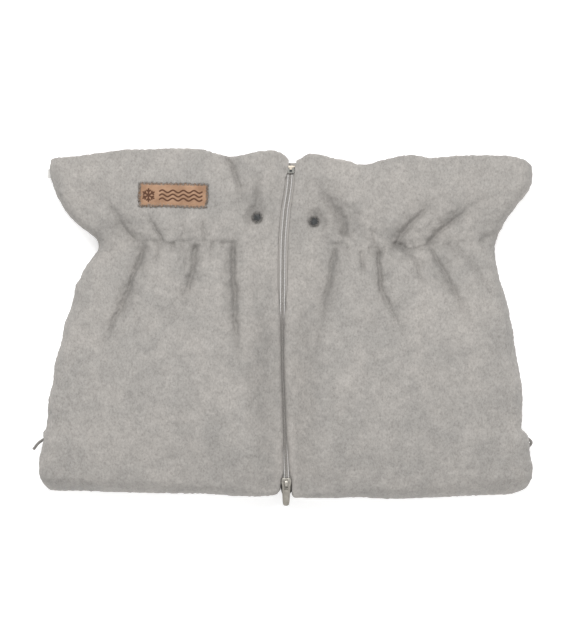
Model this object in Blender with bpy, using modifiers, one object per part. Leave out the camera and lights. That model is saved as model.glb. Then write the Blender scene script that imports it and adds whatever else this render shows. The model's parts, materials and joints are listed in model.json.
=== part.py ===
"""Divisible hand warmer muff: two fleece mitts joined down the middle by a separable zip.

Blender 4.5, metres, +Z up. The muff lies flat on its back: the hand openings and their ruffle
point along +Y, the bottom hem along -Y, and the origin is under the middle of its box.
Each mitt is a front and a back shell with a lining inside, gathered by elastic at the waist.
"""
import math

import bmesh
import bpy
import numpy as np
from mathutils import Matrix, Vector

MM = 0.001

# Fabric layers, measured inwards from the outer surface of a panel
SHELL_T = 2.4 * MM
LAYER_GAP = 1.4 * MM
LINING_T = 2.0 * MM
LINING_DEPTH = SHELL_T + LAYER_GAP
STACK_T = LINING_DEPTH + LINING_T

# Zip centre line: it leans a little to +X as it runs up to the mouth
ZIP_X0 = 2.2 * MM
ZIP_LEAN = math.radians(0.7)
ZIP_Z = 26.0 * MM
TAPE_T = 0.7 * MM
TAPE_IN, TAPE_OUT = 1.0 * MM, 13.5 * MM
TAPE_BOTTOM, TAPE_TOP = -166.0 * MM, 152.5 * MM
COIL_IN, COIL_OUT = 0.6 * MM, 2.8 * MM
COIL_T = 2.2 * MM
COIL_BOTTOM, COIL_TOP = -165.6 * MM, 149.0 * MM
STOP_OUT, STOP_L, STOP_DROP = 3.6 * MM, 2.3 * MM, 0.9 * MM
FIT = 0.3 * MM

# Slider, at the hem end of its travel when the zip is closed
SLIDER_Y = -157.5 * MM
SLIDER_W, SLIDER_L, SLIDER_PLATE = 10.0 * MM, 15.0 * MM, 1.1 * MM
PULL_AXIS_Y, PULL_AXIS_RISE = SLIDER_Y + 1.5 * MM, 1.5 * MM
PULL_W, PULL_L, PULL_T = 7.4 * MM, 22.0 * MM, 1.3 * MM

# Retainer box and pin at the mouth end: the right mitt turns about the pin
BOX_BOTTOM, BOX_TOP = 153.5 * MM, 161.5 * MM
BOX_LEFT, BOX_RIGHT = -4.2 * MM, 4.0 * MM
BOX_WALL, BOX_PLATE = 3.0 * MM, 0.8 * MM
PIN_S, PIN_R = 1.7 * MM, 1.0 * MM
PIN_BOTTOM, PIN_TOP = 152.6 * MM, 160.5 * MM

# Panel edges and height levels
EDGE_IN = 6.5 * MM              # fabric edge beside the zip
BAND = 14.5 * MM                # flat band sewn over the tape ends here
FRONT_BAND_Z = ZIP_Z + TAPE_T / 2 + FIT + SHELL_T + 0.65 * MM
BACK_BAND_Z = 17.5 * MM
SEAM_Z = 10.0 * MM              # side and bottom seams
SEAM_GAP = 2.0 * MM             # each panel stops this far from the seam level
SIDE_ROUND, HEM_ROUND = 40 * MM, 36 * MM
BACK_ROUND = 18 * MM

# Side slits that a handlebar passes through, in both sides of each mitt
SLIT_Y, SLIT_FLAT, SLIT_HALF = -133 * MM, 15 * MM, 31 * MM
SLIT_RAISE = 16 * MM
SLIT_DROP = 14 * MM

# Elastic waist
WAIST_Y0, WAIST_Y1 = 76 * MM, 84 * MM
WAIST_DIP = 3.0 * MM
ELASTIC_T = 0.6 * MM

# Rows of panel points: round the hem by angle in degrees, then up to the waist in millimetres
HEM_ANGLES = (0, 9, 22, 44, 66)
BODY_ROWS = (-118, -104, -72, -30, 12, 42, 62)
WAIST_ROW = len(HEM_ANGLES) + len(BODY_ROWS)

# Press studs, one in each mitt: distance from the zip line, and place along it
SNAP_FRONT_Z, SNAP_BACK_Z = FRONT_BAND_Z, 12.3 * MM
SNAP_HOLE, SNAP_PATCH, SNAP_CAP = 8.5 * MM, 8.0 * MM, 4.2 * MM
SNAP_POST, SNAP_BORE = 1.0 * MM, 1.4 * MM
SNAP_FLAT = 6.0 * MM

# Height of the front over its length: (Y, height), smoothly joined
DOME = [(-175, 50), (-120, 56), (-50, 59), (10, 55), (55, 46), (80, 36), (100, 41), (130, 43), (182, 38)]

# Left and right mitt: outer side (Y, X), top edge (X, Y) and bottom edge (X, Y), in millimetres
SIDES = {
    "left": dict(
        sign=-1,
        snap=(32.4 * MM, 109 * MM),
        side=[(-170, -230), (-163, -235), (-156, -241), (-145, -246), (-128, -245), (-106, -239),
              (-60, -235), (0, -221), (45, -209), (80, -187), (100, -206), (125, -226),
              (150, -235), (165, -236), (180, -226)],
        top=[(-240, 164), (-228, 169), (-192, 173), (-160, 177), (-104, 178), (-80, 177),
             (-60, 171), (-48, 171), (-25, 176), (-8, 175), (2, 170)],
        bottom=[(-246, -162), (-232, -164), (-190, -165), (-110, -167), (-60, -168),
                (-30, -169), (-6, -168), (4, -166)],
    ),
    "right": dict(
        sign=1,
        snap=(24.6 * MM, 105 * MM),
        side=[(-175, 234), (-163, 240), (-156, 243), (-140, 246), (-125, 243), (-101, 236),
              (-60, 236), (0, 226), (45, 214), (80, 209), (100, 217), (125, 235), (143, 245),
              (158, 246), (172, 238)],
        top=[(4, 166), (16, 169), (26, 173), (48, 168), (70, 162), (96, 166), (128, 171),
             (144, 168), (200, 171), (232, 169), (246, 162)],
        bottom=[(4, -168), (16, -170), (64, -170), (104, -172), (176, -169), (216, -168),
                (234, -164), (246, -160)],
    ),
}

COLOURS = {
    "fleece": ((0.42, 0.40, 0.38), 0.95, 0.0),
    "sherpa": ((0.80, 0.76, 0.69), 0.95, 0.0),
    "tape": ((0.40, 0.38, 0.36), 0.85, 0.0),
    "coil": ((0.45, 0.44, 0.42), 0.45, 0.0),
    "elastic": ((0.82, 0.82, 0.80), 0.80, 0.0),
    "cord": ((0.30, 0.29, 0.28), 0.80, 0.0),
    "nickel": ((0.62, 0.60, 0.57), 0.30, 1.0),
    "gunmetal": ((0.09, 0.09, 0.085), 0.45, 0.8),
    "pull": ((0.34, 0.32, 0.29), 0.50, 0.3),
    "leather": ((0.42, 0.24, 0.13), 0.60, 0.0),
    "label": ((0.85, 0.84, 0.82), 0.70, 0.0),
}


# ---------------------------------------------------------------- scene and small helpers

def clear_scene():
    for obj in list(bpy.data.objects):
        bpy.data.objects.remove(obj, do_unlink=True)


def make_collection(name):
    coll = bpy.data.collections.new(name)
    bpy.context.scene.collection.children.link(coll)
    return coll


def make_materials():
    mats = {}
    for name, (colour, rough, metal) in COLOURS.items():
        mat = bpy.data.materials.new(name)
        mat.use_nodes = True
        shader = mat.node_tree.nodes["Principled BSDF"]
        shader.inputs["Base Color"].default_value = (*colour, 1.0)
        shader.inputs["Roughness"].default_value = rough
        shader.inputs["Metallic"].default_value = metal
        mats[name] = mat
    return mats


def adopt(obj, name, mat, coll=None):
    """Name an object, give it its material and move it to a collection."""
    obj.name = name
    for old in list(obj.users_collection):
        old.objects.unlink(obj)
    (coll or MUFF).objects.link(obj)
    obj.data.materials.clear()
    if mat:
        obj.data.materials.append(MATS[mat])
    return obj


def smooth(t):
    t = min(max(t, 0.0), 1.0)
    return t * t * (3.0 - 2.0 * t)


def rounded(distance, radius):
    """Quarter-ellipse rise: 0 at the edge, 1 from one radius in."""
    t = 1.0 - min(max(distance / radius, 0.0), 1.0)
    return math.sqrt(max(0.0, 1.0 - t * t))


def curve_through(points, x):
    """Monotone cubic through (x, y) points in millimetres, read at x in metres."""
    xs = np.array([p[0] for p in points], dtype=float)
    ys = np.array([p[1] for p in points], dtype=float)
    q = min(max(x / MM, xs[0]), xs[-1])
    step = np.diff(xs)
    slope = np.diff(ys) / step
    tangent = np.zeros(len(xs))
    tangent[0], tangent[-1] = slope[0], slope[-1]
    for i in range(1, len(xs) - 1):
        if slope[i - 1] * slope[i] > 0:
            tangent[i] = 2 * slope[i - 1] * slope[i] / (slope[i - 1] + slope[i])
    i = min(int(np.searchsorted(xs, q, side="right")) - 1, len(step) - 1)
    t = (q - xs[i]) / step[i]
    h00, h10 = (1 + 2 * t) * (1 - t) ** 2, t * (1 - t) ** 2
    h01, h11 = t * t * (3 - 2 * t), t * t * (t - 1)
    value = h00 * ys[i] + h10 * step[i] * tangent[i] + h01 * ys[i + 1] + h11 * step[i] * tangent[i + 1]
    return value * MM


def zip_x(y):
    return ZIP_X0 + y * math.tan(ZIP_LEAN)


def slit(y):
    """1 in the middle of the handlebar slits, 0 above and below them."""
    return smooth((SLIT_HALF - abs(y - SLIT_Y)) / (SLIT_HALF - SLIT_FLAT))


def inner_slit(y):
    """The slit beside the zip stays open down to the hem."""
    return slit(max(y, SLIT_Y))


# ---------------------------------------------------------------- panel surfaces

def snap_weight(side, x, y, reach):
    s, y_snap = side["snap"]
    x_snap = zip_x(y_snap) + side["sign"] * s
    r = max(abs(x - x_snap), abs(y - y_snap))
    return 1.0 - smooth((r - SNAP_FLAT - 0.2 * MM) / reach)


def front_z(side, x, y, s, e, b):
    """Outer surface of a front panel; s, e and b are distances from zip, side and hem."""
    dome = curve_through(DOME, y)
    inner = FRONT_BAND_Z + (dome - FRONT_BAND_Z) * smooth((s - BAND) / (45 * MM))
    hem = rounded(b, HEM_ROUND)
    hem += (1.0 - hem) * smooth((60 * MM - s) / (40 * MM))
    edge = SEAM_Z + SEAM_GAP + SLIT_RAISE * slit(y) * smooth((s - 80 * MM) / (60 * MM))
    z = edge + (inner - edge) * rounded(e, SIDE_ROUND) * hem
    return z + (SNAP_FRONT_Z - z) * snap_weight(side, x, y, 24 * MM)


def back_z(side, x, y, s, e, b):
    """Outer (lower) surface of a back panel: flat on the table, rising to its edges."""
    near_zip = 1.0 - smooth((s - BAND) / (38 * MM))
    z = (BACK_BAND_Z - SLIT_DROP * inner_slit(y)) * near_zip
    z += WAIST_DIP * smooth(1.0 - abs(y - (WAIST_Y0 + WAIST_Y1) / 2) / (24 * MM)) * (1.0 - near_zip)
    z += (SEAM_Z - SEAM_GAP - z) * (1.0 - rounded(e, BACK_ROUND))
    z += (SEAM_Z - SEAM_GAP - z) * (1.0 - rounded(b, BACK_ROUND))
    return z + (SNAP_BACK_Z - z) * snap_weight(side, x, y, 12 * MM)


def panel_grid(side, height, edge_round):
    """Points and unit normals of a panel's outer surface, [row][column]."""
    snap_s, snap_y = side["snap"]
    near = [EDGE_IN, BAND, snap_s - SNAP_FLAT, snap_s + SNAP_FLAT, 56 * MM]
    far = [edge_round * (1.0 - math.cos(math.radians(a))) for a in (90, 66, 44, 22, 9, 0)]
    rows_low = [edge_round * (1.0 - math.cos(math.radians(a))) for a in HEM_ANGLES]
    rows = [y * MM for y in BODY_ROWS] + [WAIST_Y0, WAIST_Y1, snap_y - SNAP_FLAT, snap_y + SNAP_FLAT]
    rows += [130 * MM, 148 * MM]
    points = []
    for j in range(len(rows_low) + len(rows) + 1):
        line = []
        for i in range(len(near) + 2 + len(far)):
            x = 0.0
            y = rows[min(max(j - len(rows_low), 0), len(rows) - 1)]
            for _ in range(4):
                outer = abs(curve_through(side["side"], y) - zip_x(y))
                if i < len(near):
                    s = near[i]
                elif i < len(near) + 2:
                    s = near[-1] + (outer - far[0] - near[-1]) * (i - len(near) + 1) / 3
                else:
                    s = outer - far[i - len(near) - 2]
                x = zip_x(y) + side["sign"] * s
                if j < len(rows_low):
                    y = curve_through(side["bottom"], x) + rows_low[j]
                elif j == len(rows_low) + len(rows):
                    y = curve_through(side["top"], x)
            e = max(0.0, outer - s)
            b = max(0.0, y - curve_through(side["bottom"], x))
            line.append((x, y, height(side, x, y, s, e, b)))
        points.append(line)
    return np.array(points)


def grid_object(name, points, mat):
    """A grid primitive whose points are put on a surface, with vertex normals kept outwards."""
    rows, cols = points.shape[:2]
    bpy.ops.mesh.primitive_grid_add(x_subdivisions=cols - 1, y_subdivisions=rows - 1, size=1.0)
    obj = adopt(bpy.context.object, name, mat)
    order = sorted(obj.data.vertices, key=lambda v: (round(v.co.y, 5), round(v.co.x, 5)))
    for vert, place in zip(order, points.reshape(-1, 3)):
        vert.co = place
    cells = bmesh.new()
    cells.from_mesh(obj.data)
    bmesh.ops.triangulate(cells, faces=cells.faces, quad_method="FIXED")
    cells.to_mesh(obj.data)
    cells.free()
    return obj


def face_outwards(obj, up):
    """Flip a sheet so that its mean normal points up (+1) or down (-1)."""
    mean = sum((f.normal * f.area for f in obj.data.polygons), Vector())
    if mean.z * up < 0:
        obj.data.flip_normals()


def solidify(obj, thickness):
    mod = obj.modifiers.new("thickness", "SOLIDIFY")
    mod.thickness = thickness
    mod.offset = -1.0
    return obj


def sheet_normals(points, up):
    """Vertex normals of a surface, as Solidify reads them."""
    obj = grid_object("guide", points, None)
    face_outwards(obj, up)
    normals = np.array([item.vector[:] for item in obj.data.vertex_normals])
    bpy.data.objects.remove(obj, do_unlink=True)
    return normals.reshape(points.shape)


def panel_layer(name, points, normals, depth, thickness, mat, up):
    """A closed layer of a panel that starts at a depth below its outer surface."""
    layer = points - normals * depth
    obj = grid_object(name, layer, mat)
    face_outwards(obj, up)
    solidify(obj, thickness)
    for poly in obj.data.polygons:
        poly.use_smooth = True
    return obj


def cut(obj, cutter):
    mod = obj.modifiers.new("cut", "BOOLEAN")
    mod.operation = "DIFFERENCE"
    mod.solver = "EXACT"
    mod.object = cutter


def cylinder_cutter(name, x, y, radius, z0, z1, sides=24):
    bpy.ops.mesh.primitive_cylinder_add(vertices=sides, radius=radius, depth=z1 - z0,
                                        location=(x, y, (z0 + z1) / 2))
    obj = adopt(bpy.context.object, name, None, CUTTERS)
    obj.hide_render = True
    obj.display_type = "WIRE"
    return obj


def make_panels(name, side):
    """Shells, linings and waist elastics of one mitt; returns where its press stud goes through."""
    snap_s, snap_y = side["snap"]
    snap_x = zip_x(snap_y) + side["sign"] * snap_s
    for part, height, up, edge_round, radius, trim in (
            ("front", front_z, 1, SIDE_ROUND, SNAP_HOLE, 1), ("back", back_z, -1, BACK_ROUND, SNAP_BORE, 2)):
        points = panel_grid(side, height, edge_round)
        normals = sheet_normals(points, up)
        shell = panel_layer(f"{name}_{part}_shell", points, normals, 0.0, SHELL_T, "fleece", up)
        inner = slice(2, None), slice(1, -trim)
        lining = panel_layer(f"{name}_{part}_lining", points[inner], normals[inner],
                             LINING_DEPTH, LINING_T, "sherpa", up)
        strip = slice(WAIST_ROW, WAIST_ROW + 2), slice(2, -trim)
        panel_layer(f"{name}_{part}_elastic", points[strip], normals[strip],
                    SHELL_T + (LAYER_GAP - ELASTIC_T) / 2, ELASTIC_T, "elastic", up)
        hole = cylinder_cutter(f"{name}_{part}_snap_hole", snap_x, snap_y, radius, -0.01, 0.08)
        cut(shell, hole)
        cut(lining, hole)
    return snap_x, snap_y


def turned(name, profile, place, mat, steps=24):
    """Solid of revolution: the profile runs top to bottom on the outer side, at +X."""
    mesh = bpy.data.meshes.new(name)
    bm = bmesh.new()
    verts = [bm.verts.new((r, 0.0, z)) for r, z in profile]
    for a, b in zip(verts, verts[1:]):
        bm.edges.new((a, b))
    bm.to_mesh(mesh)
    bm.free()
    obj = bpy.data.objects.new(name, mesh)
    MUFF.objects.link(obj)
    obj.data.materials.append(MATS[mat])
    obj.location = place
    mod = obj.modifiers.new("turn", "SCREW")
    mod.angle = math.tau
    mod.steps = steps
    mod.render_steps = steps
    mod.use_merge_vertices = True
    mod.merge_threshold = 0.00001
    mod.use_smooth_shade = True
    return obj


def make_snap(name, x, y):
    """Press stud: cap, fabric patch and socket lift together off the stud and its rear post."""
    top = SNAP_FRONT_Z
    under = top - STACK_T
    socket_h = 4.0 * MM
    socket_top = under - FIT
    back_top = SNAP_BACK_Z + STACK_T
    patch = [(SNAP_BORE, top), (SNAP_PATCH - 0.8 * MM, top), (SNAP_PATCH, top - 0.8 * MM),
             (SNAP_PATCH, under), (SNAP_BORE, under), (SNAP_BORE, top)]
    turned(f"{name}_snap_patch", patch, (x, y, 0), "fleece")
    cap = [(0, top + 1.9 * MM), (1.8 * MM, top + 1.75 * MM), (3.3 * MM, top + 1.3 * MM),
           (SNAP_CAP, top + FIT), (SNAP_POST, top + FIT), (SNAP_POST, under), (0, under)]
    turned(f"{name}_snap_cap", cap, (x, y, 0), "gunmetal")
    low = socket_top - socket_h
    socket = [(0, socket_top), (4.6 * MM, socket_top), (4.6 * MM, low), (2.8 * MM, low),
              (2.8 * MM, socket_top - 1.2 * MM), (0, socket_top - 1.2 * MM)]
    turned(f"{name}_snap_socket", socket, (x, y, 0), "gunmetal")
    base = back_top + FIT
    stud = [(0, base + 3.2 * MM), (1.8 * MM, base + 3.2 * MM), (2.3 * MM, base + 2.6 * MM),
            (2.0 * MM, base + 1.0 * MM), (4.4 * MM, base + 1.0 * MM), (4.4 * MM, base), (0, base)]
    turned(f"{name}_snap_stud", stud, (x, y, 0), "gunmetal")
    low = SNAP_BACK_Z - FIT
    post = [(0, back_top), (SNAP_POST, back_top), (SNAP_POST, low), (SNAP_CAP, low),
            (3.3 * MM, low - 1.2 * MM), (0, low - 1.7 * MM)]
    turned(f"{name}_snap_post", post, (x, y, 0), "gunmetal")


def zip_block(name, low, high, mat, bevel=0.0, segments=1):
    """A block in zip coordinates: across, along and up, with optional rounded edges."""
    bpy.ops.mesh.primitive_cube_add(size=1.0)
    obj = adopt(bpy.context.object, name, mat)
    size = [h - l for l, h in zip(low, high)]
    centre = [(h + l) / 2 for l, h in zip(low, high)]
    obj.data.transform(Matrix.Diagonal((*size, 1.0)))
    if bevel:
        mod = obj.modifiers.new("edges", "BEVEL")
        mod.width = bevel
        mod.segments = segments
        mod.limit_method = "ANGLE"
    obj.parent = ZIP_LINE
    obj.location = centre
    return obj


def union(obj, *others):
    """Join blocks into one closed body, as a modifier stack that hides the added blocks."""
    for other in others:
        mod = obj.modifiers.new("join", "BOOLEAN")
        mod.operation = "UNION"
        mod.solver = "EXACT"
        mod.object = other
        adopt(other, other.name, None, CUTTERS)
        other.hide_render = True
        other.display_type = "WIRE"
    return obj


def make_zip_rows():
    tape_z = (ZIP_Z - TAPE_T / 2, ZIP_Z + TAPE_T / 2)
    coil_z = (tape_z[1] + FIT, tape_z[1] + FIT + COIL_T)
    for name, sign in (("left", -1), ("right", 1)):
        s0, s1 = sorted((sign * TAPE_IN, sign * TAPE_OUT))
        zip_block(f"{name}_zip_tape", (s0, TAPE_BOTTOM, tape_z[0]), (s1, TAPE_TOP, tape_z[1]),
                  "tape")
        s0, s1 = sorted((sign * COIL_IN, sign * COIL_OUT))
        zip_block(f"{name}_zip_coil", (s0, COIL_BOTTOM, coil_z[0]), (s1, COIL_TOP, coil_z[1]),
                  "coil", 0.5 * MM)
        s0, s1 = sorted((sign * COIL_IN, sign * STOP_OUT))
        zip_block(f"{name}_zip_stop", (s0, TAPE_BOTTOM - FIT - STOP_L, tape_z[0] - STOP_DROP),
                  (s1, TAPE_BOTTOM - FIT, coil_z[1]), "nickel", 0.4 * MM)
    return coil_z


def make_retainer(coil_z):
    """Box on the left tape's end, open to the right, with the right tape's pin between its plates."""
    bottom_z, top_z = ZIP_Z - 2.2 * MM, coil_z[1] + 0.5 * MM
    low = (BOX_LEFT, BOX_BOTTOM, bottom_z)
    box = zip_block("zip_retainer_box", low, (BOX_RIGHT, BOX_TOP, bottom_z + BOX_PLATE), "nickel")
    wall = zip_block("box_wall", low, (BOX_LEFT + BOX_WALL, BOX_TOP, top_z), "nickel")
    roof = zip_block("box_roof", (BOX_LEFT, BOX_BOTTOM, top_z - BOX_PLATE), (BOX_RIGHT, BOX_TOP, top_z),
                     "nickel")
    union(box, wall, roof)
    bpy.ops.mesh.primitive_cylinder_add(vertices=12, radius=PIN_R, depth=PIN_TOP - PIN_BOTTOM,
                                        rotation=(math.pi / 2, 0, 0))
    pin = adopt(bpy.context.object, "zip_insertion_pin", "nickel")
    pin.parent = ZIP_LINE
    pin.location = (PIN_S, (PIN_TOP + PIN_BOTTOM) / 2, ZIP_Z + 0.9 * MM)


def make_slider(coil_z):
    """Slider: two plates joined by a thin bridge between the rows, with an arched bail on top."""
    half_w, half_l = SLIDER_W / 2, SLIDER_L / 2
    y0, y1 = SLIDER_Y - half_l, SLIDER_Y + half_l
    low_top = ZIP_Z - TAPE_T / 2 - 0.4 * MM
    high_bottom = coil_z[1] + 0.4 * MM
    high_top = high_bottom + SLIDER_PLATE
    body = zip_block("zip_slider_body", (-half_w, y0, high_bottom), (half_w, y1, high_top), "nickel",
                     0.35 * MM)
    base = zip_block("slider_base", (-half_w, y0, low_top - SLIDER_PLATE), (half_w, y1, low_top),
                     "nickel", 0.35 * MM)
    bridge = zip_block("slider_bridge", (-0.25 * MM, y0 + 1.5 * MM, low_top - 0.5 * MM),
                       (0.25 * MM, y0 + 5 * MM, high_bottom + 0.5 * MM), "nickel")
    union(body, base, bridge)
    bail_wire(high_top + FIT)
    pull_tab(high_top + PULL_AXIS_RISE)


def bail_wire(foot_z):
    """Arch of round wire standing along the slider; the pull's eye turns under it."""
    curve = bpy.data.curves.new("zip_slider_bail", "CURVE")
    curve.dimensions = "3D"
    curve.bevel_depth = 0.7 * MM
    curve.bevel_resolution = 2
    curve.use_fill_caps = True
    line = curve.splines.new("POLY")
    count, reach, rise = 12, 4.2 * MM, 3.6 * MM
    line.points.add(count)
    for k, point in enumerate(line.points):
        a = math.pi * k / count
        point.co = (0.0, -reach * math.cos(a), foot_z + rise * math.sin(a) ** 0.7, 1.0)
    obj = bpy.data.objects.new("zip_slider_bail", curve)
    MUFF.objects.link(obj)
    curve.materials.append(MATS["nickel"])
    obj.parent = ZIP_LINE
    obj.location = (0.0, PULL_AXIS_Y, 0.0)


def pull_tab(axis_z):
    """Pull: a flat tab with a rectangular eye; its origin is on the cross bar's axis."""
    half_w, half_t = PULL_W / 2, PULL_T / 2
    tab = zip_block("zip_pull_tab", (-half_w, -PULL_L, -half_t), (half_w, 0.7 * MM, half_t), "pull")
    eye = zip_block("pull_eye", (-2.1 * MM, -6.2 * MM, -2 * MM), (2.1 * MM, -0.7 * MM, 2 * MM), None)
    for obj in (tab, eye):
        obj.data.transform(Matrix.Translation(obj.location))
        obj.location = (0.0, PULL_AXIS_Y, axis_z)
    for vert in tab.data.vertices:
        if vert.co.y < -PULL_L / 2:
            vert.co.x *= 0.88
    round_tab = tab.modifiers.new("corners", "BEVEL")
    round_tab.width = 1.2 * MM
    round_tab.segments = 3
    round_tab.affect = "EDGES"
    round_tab.limit_method = "WEIGHT"
    weights = tab.data.attributes.new("bevel_weight_edge", "FLOAT", "EDGE")
    for k, edge in enumerate(tab.data.edges):
        a, b = (tab.data.vertices[v].co for v in edge.vertices)
        weights.data[k].value = 1.0 if abs(a.z - b.z) > half_t else 0.0
    cut(tab, eye)
    adopt(eye, "pull_eye", None, CUTTERS)
    eye.hide_render = True
    eye.display_type = "WIRE"


def smooth_route(points, per_span):
    """Catmull-Rom points through a cord's route."""
    pts = [Vector(p) for p in points]
    pts = [2 * pts[0] - pts[1]] + pts + [2 * pts[-1] - pts[-2]]
    out = []
    for p0, p1, p2, p3 in zip(pts, pts[1:], pts[2:], pts[3:]):
        for k in range(per_span):
            t = k / per_span
            out.append(0.5 * (2 * p1 + (p2 - p0) * t + (2 * p0 - 5 * p1 + 4 * p2 - p3) * t * t
                              + (3 * p1 - p0 - 3 * p2 + p3) * t ** 3))
    return out + [pts[-2]]


def make_cord(name, route):
    curve = bpy.data.curves.new(name, "CURVE")
    curve.dimensions = "3D"
    curve.bevel_depth = CORD_D / 2
    curve.bevel_resolution = 2
    curve.use_fill_caps = True
    places = smooth_route([[c * MM for c in p] for p in route], 2)
    line = curve.splines.new("POLY")
    line.points.add(len(places) - 1)
    for point, place in zip(line.points, places):
        point.co = (*place, 1.0)
    obj = bpy.data.objects.new(name, curve)
    MUFF.objects.link(obj)
    curve.materials.append(MATS["cord"])


def make_patch(name, side, centre, size, lift, thickness, mat, turn=0.0, cells=(6, 3)):
    """A small patch that follows the front panel's surface."""
    bpy.ops.mesh.primitive_grid_add(x_subdivisions=cells[0], y_subdivisions=cells[1], size=1.0)
    obj = adopt(bpy.context.object, name, mat)
    cos, sin = math.cos(turn), math.sin(turn)
    for vert in obj.data.vertices:
        u, v = vert.co.x * size[0], vert.co.y * size[1]
        x, y = centre[0] + u * cos - v * sin, centre[1] + u * sin + v * cos
        s = abs(x - zip_x(y))
        e = abs(curve_through(side["side"], y) - zip_x(y)) - s
        b = y - curve_through(side["bottom"], x)
        vert.co = (x, y, front_z(side, x, y, s, e, b) + lift + thickness)
    face_outwards(obj, 1)
    solidify(obj, thickness)
    return obj


def make_care_label():
    """Blank woven tag held in the left mitt's side seam, just below the mouth."""
    label = zip_block("care_label", (-239 * MM, 149 * MM, SEAM_Z - 0.4 * MM),
                      (-234 * MM, 158 * MM, SEAM_Z + 0.4 * MM), "label")
    label.parent = None


# Side cords: hand-laid routes in millimetres, from inside the slit outwards
CORD_D = 3.0 * MM
LEFT_CORD = [(-219, -116, 13.5), (-229, -113.5, 13.3), (-239, -111.5, 12.6), (-247, -115.5, 10.4),
             (-253, -122.5, 8.0)]
RIGHT_CORD = [(222, -111, 13.3), (232, -110.4, 13.3), (240, -110.6, 12.6), (245.6, -115.6, 11.4),
              (240.4, -121, 11.6), (232, -121.6, 13.0), (222, -121.4, 13.3)]

MATS = {}
MUFF = CUTTERS = ZIP_LINE = None


def main():
    global MATS, MUFF, CUTTERS, ZIP_LINE
    clear_scene()
    MATS = make_materials()
    MUFF = make_collection("hand_warmer_muff")
    CUTTERS = make_collection("cutters")
    ZIP_LINE = bpy.data.objects.new("zip_line", None)
    MUFF.objects.link(ZIP_LINE)
    ZIP_LINE.location = (ZIP_X0, 0.0, 0.0)
    ZIP_LINE.rotation_euler = (0.0, 0.0, -ZIP_LEAN)
    for name, side in SIDES.items():
        make_snap(name, *make_panels(name, side))
    coil_z = make_zip_rows()
    make_retainer(coil_z)
    make_slider(coil_z)
    make_cord("left_side_cord", LEFT_CORD)
    make_cord("right_side_cord", RIGHT_CORD)
    make_patch("brand_patch", SIDES["left"], (-112 * MM, 131 * MM), (68 * MM, 25 * MM), 0.5 * MM,
               1.2 * MM, "leather", math.radians(-1.2))
    make_care_label()


main()
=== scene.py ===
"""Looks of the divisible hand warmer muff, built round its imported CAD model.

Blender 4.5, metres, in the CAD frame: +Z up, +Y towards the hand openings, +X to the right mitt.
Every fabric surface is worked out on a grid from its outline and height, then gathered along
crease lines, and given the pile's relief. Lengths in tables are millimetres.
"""

import json
import math

import bpy
import numpy as np
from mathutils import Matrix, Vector


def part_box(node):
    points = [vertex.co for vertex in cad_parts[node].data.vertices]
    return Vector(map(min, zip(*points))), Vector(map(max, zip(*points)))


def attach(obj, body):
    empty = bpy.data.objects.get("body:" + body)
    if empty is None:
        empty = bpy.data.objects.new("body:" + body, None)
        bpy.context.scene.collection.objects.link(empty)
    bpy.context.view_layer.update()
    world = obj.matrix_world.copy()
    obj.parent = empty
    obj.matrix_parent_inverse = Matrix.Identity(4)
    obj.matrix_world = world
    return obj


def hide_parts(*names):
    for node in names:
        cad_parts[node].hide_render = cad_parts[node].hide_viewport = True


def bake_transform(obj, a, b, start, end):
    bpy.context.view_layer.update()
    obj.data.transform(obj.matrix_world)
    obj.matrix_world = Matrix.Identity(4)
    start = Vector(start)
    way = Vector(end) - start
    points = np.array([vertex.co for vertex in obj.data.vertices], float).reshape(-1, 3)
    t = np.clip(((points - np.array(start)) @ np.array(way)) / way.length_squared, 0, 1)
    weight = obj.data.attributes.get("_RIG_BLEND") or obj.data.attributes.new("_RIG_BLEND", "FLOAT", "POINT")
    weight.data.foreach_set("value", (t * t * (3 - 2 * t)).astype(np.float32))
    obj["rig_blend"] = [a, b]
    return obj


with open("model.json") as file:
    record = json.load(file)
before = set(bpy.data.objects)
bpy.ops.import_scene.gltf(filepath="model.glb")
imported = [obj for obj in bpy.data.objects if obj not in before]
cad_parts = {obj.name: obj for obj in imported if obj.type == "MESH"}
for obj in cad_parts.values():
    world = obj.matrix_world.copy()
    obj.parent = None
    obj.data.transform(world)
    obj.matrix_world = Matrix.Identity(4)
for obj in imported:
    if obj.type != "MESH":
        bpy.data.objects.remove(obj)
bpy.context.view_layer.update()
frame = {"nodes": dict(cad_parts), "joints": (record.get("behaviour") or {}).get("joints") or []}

MM = 0.001
NODES = frame["nodes"]
JOINTS = {joint["name"]: joint for joint in frame["joints"]}

# ---- places read from the frame

ZIP_AXIS = Vector(JOINTS["zip_travel"]["axis"])
PULL_PIVOT = Vector(JOINTS["pull_swing"]["pos_m"])
LEAN = ZIP_AXIS.x / ZIP_AXIS.y
ZIP_X0 = PULL_PIVOT.x - LEAN * PULL_PIVOT.y
TAPE_LOW, TAPE_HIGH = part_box("left_zip_tape")
COIL_LOW, COIL_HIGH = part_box("left_zip_coil")
TAPE_Z = (TAPE_LOW.z + TAPE_HIGH.z) / 2
SLIDER_LOW, SLIDER_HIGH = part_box("zip_slider_body")
CAP_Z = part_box("left_snap_cap")[1].z
SNAP_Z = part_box("left_snap_patch")[1].z
SNAP_BACK_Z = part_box("left_snap_post")[0].z + 2.0 * MM
SEAM_Z = 10.0 * MM

# Sideways bow of the limp chain between its two fixed ends: (Y, X offset)
ZIP_BOW = [(-180, 0), (-150, 0), (-121, -1.3), (-84, -3.0), (-28, -5.4), (19, -6.0), (76, -6.2),
           (113, -4.3), (132, -1.8), (141, -0.7), (150, -0.1), (165, 0), (185, 0)]

# ---- outlines and creases

# Height of the front over its length
DOME = [(-178, 50), (-120, 55), (-50, 57.5), (10, 55), (50, 50), (68, 45), (80, 41), (92, 41.5),
        (110, 43), (135, 43), (182, 37)]

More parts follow.
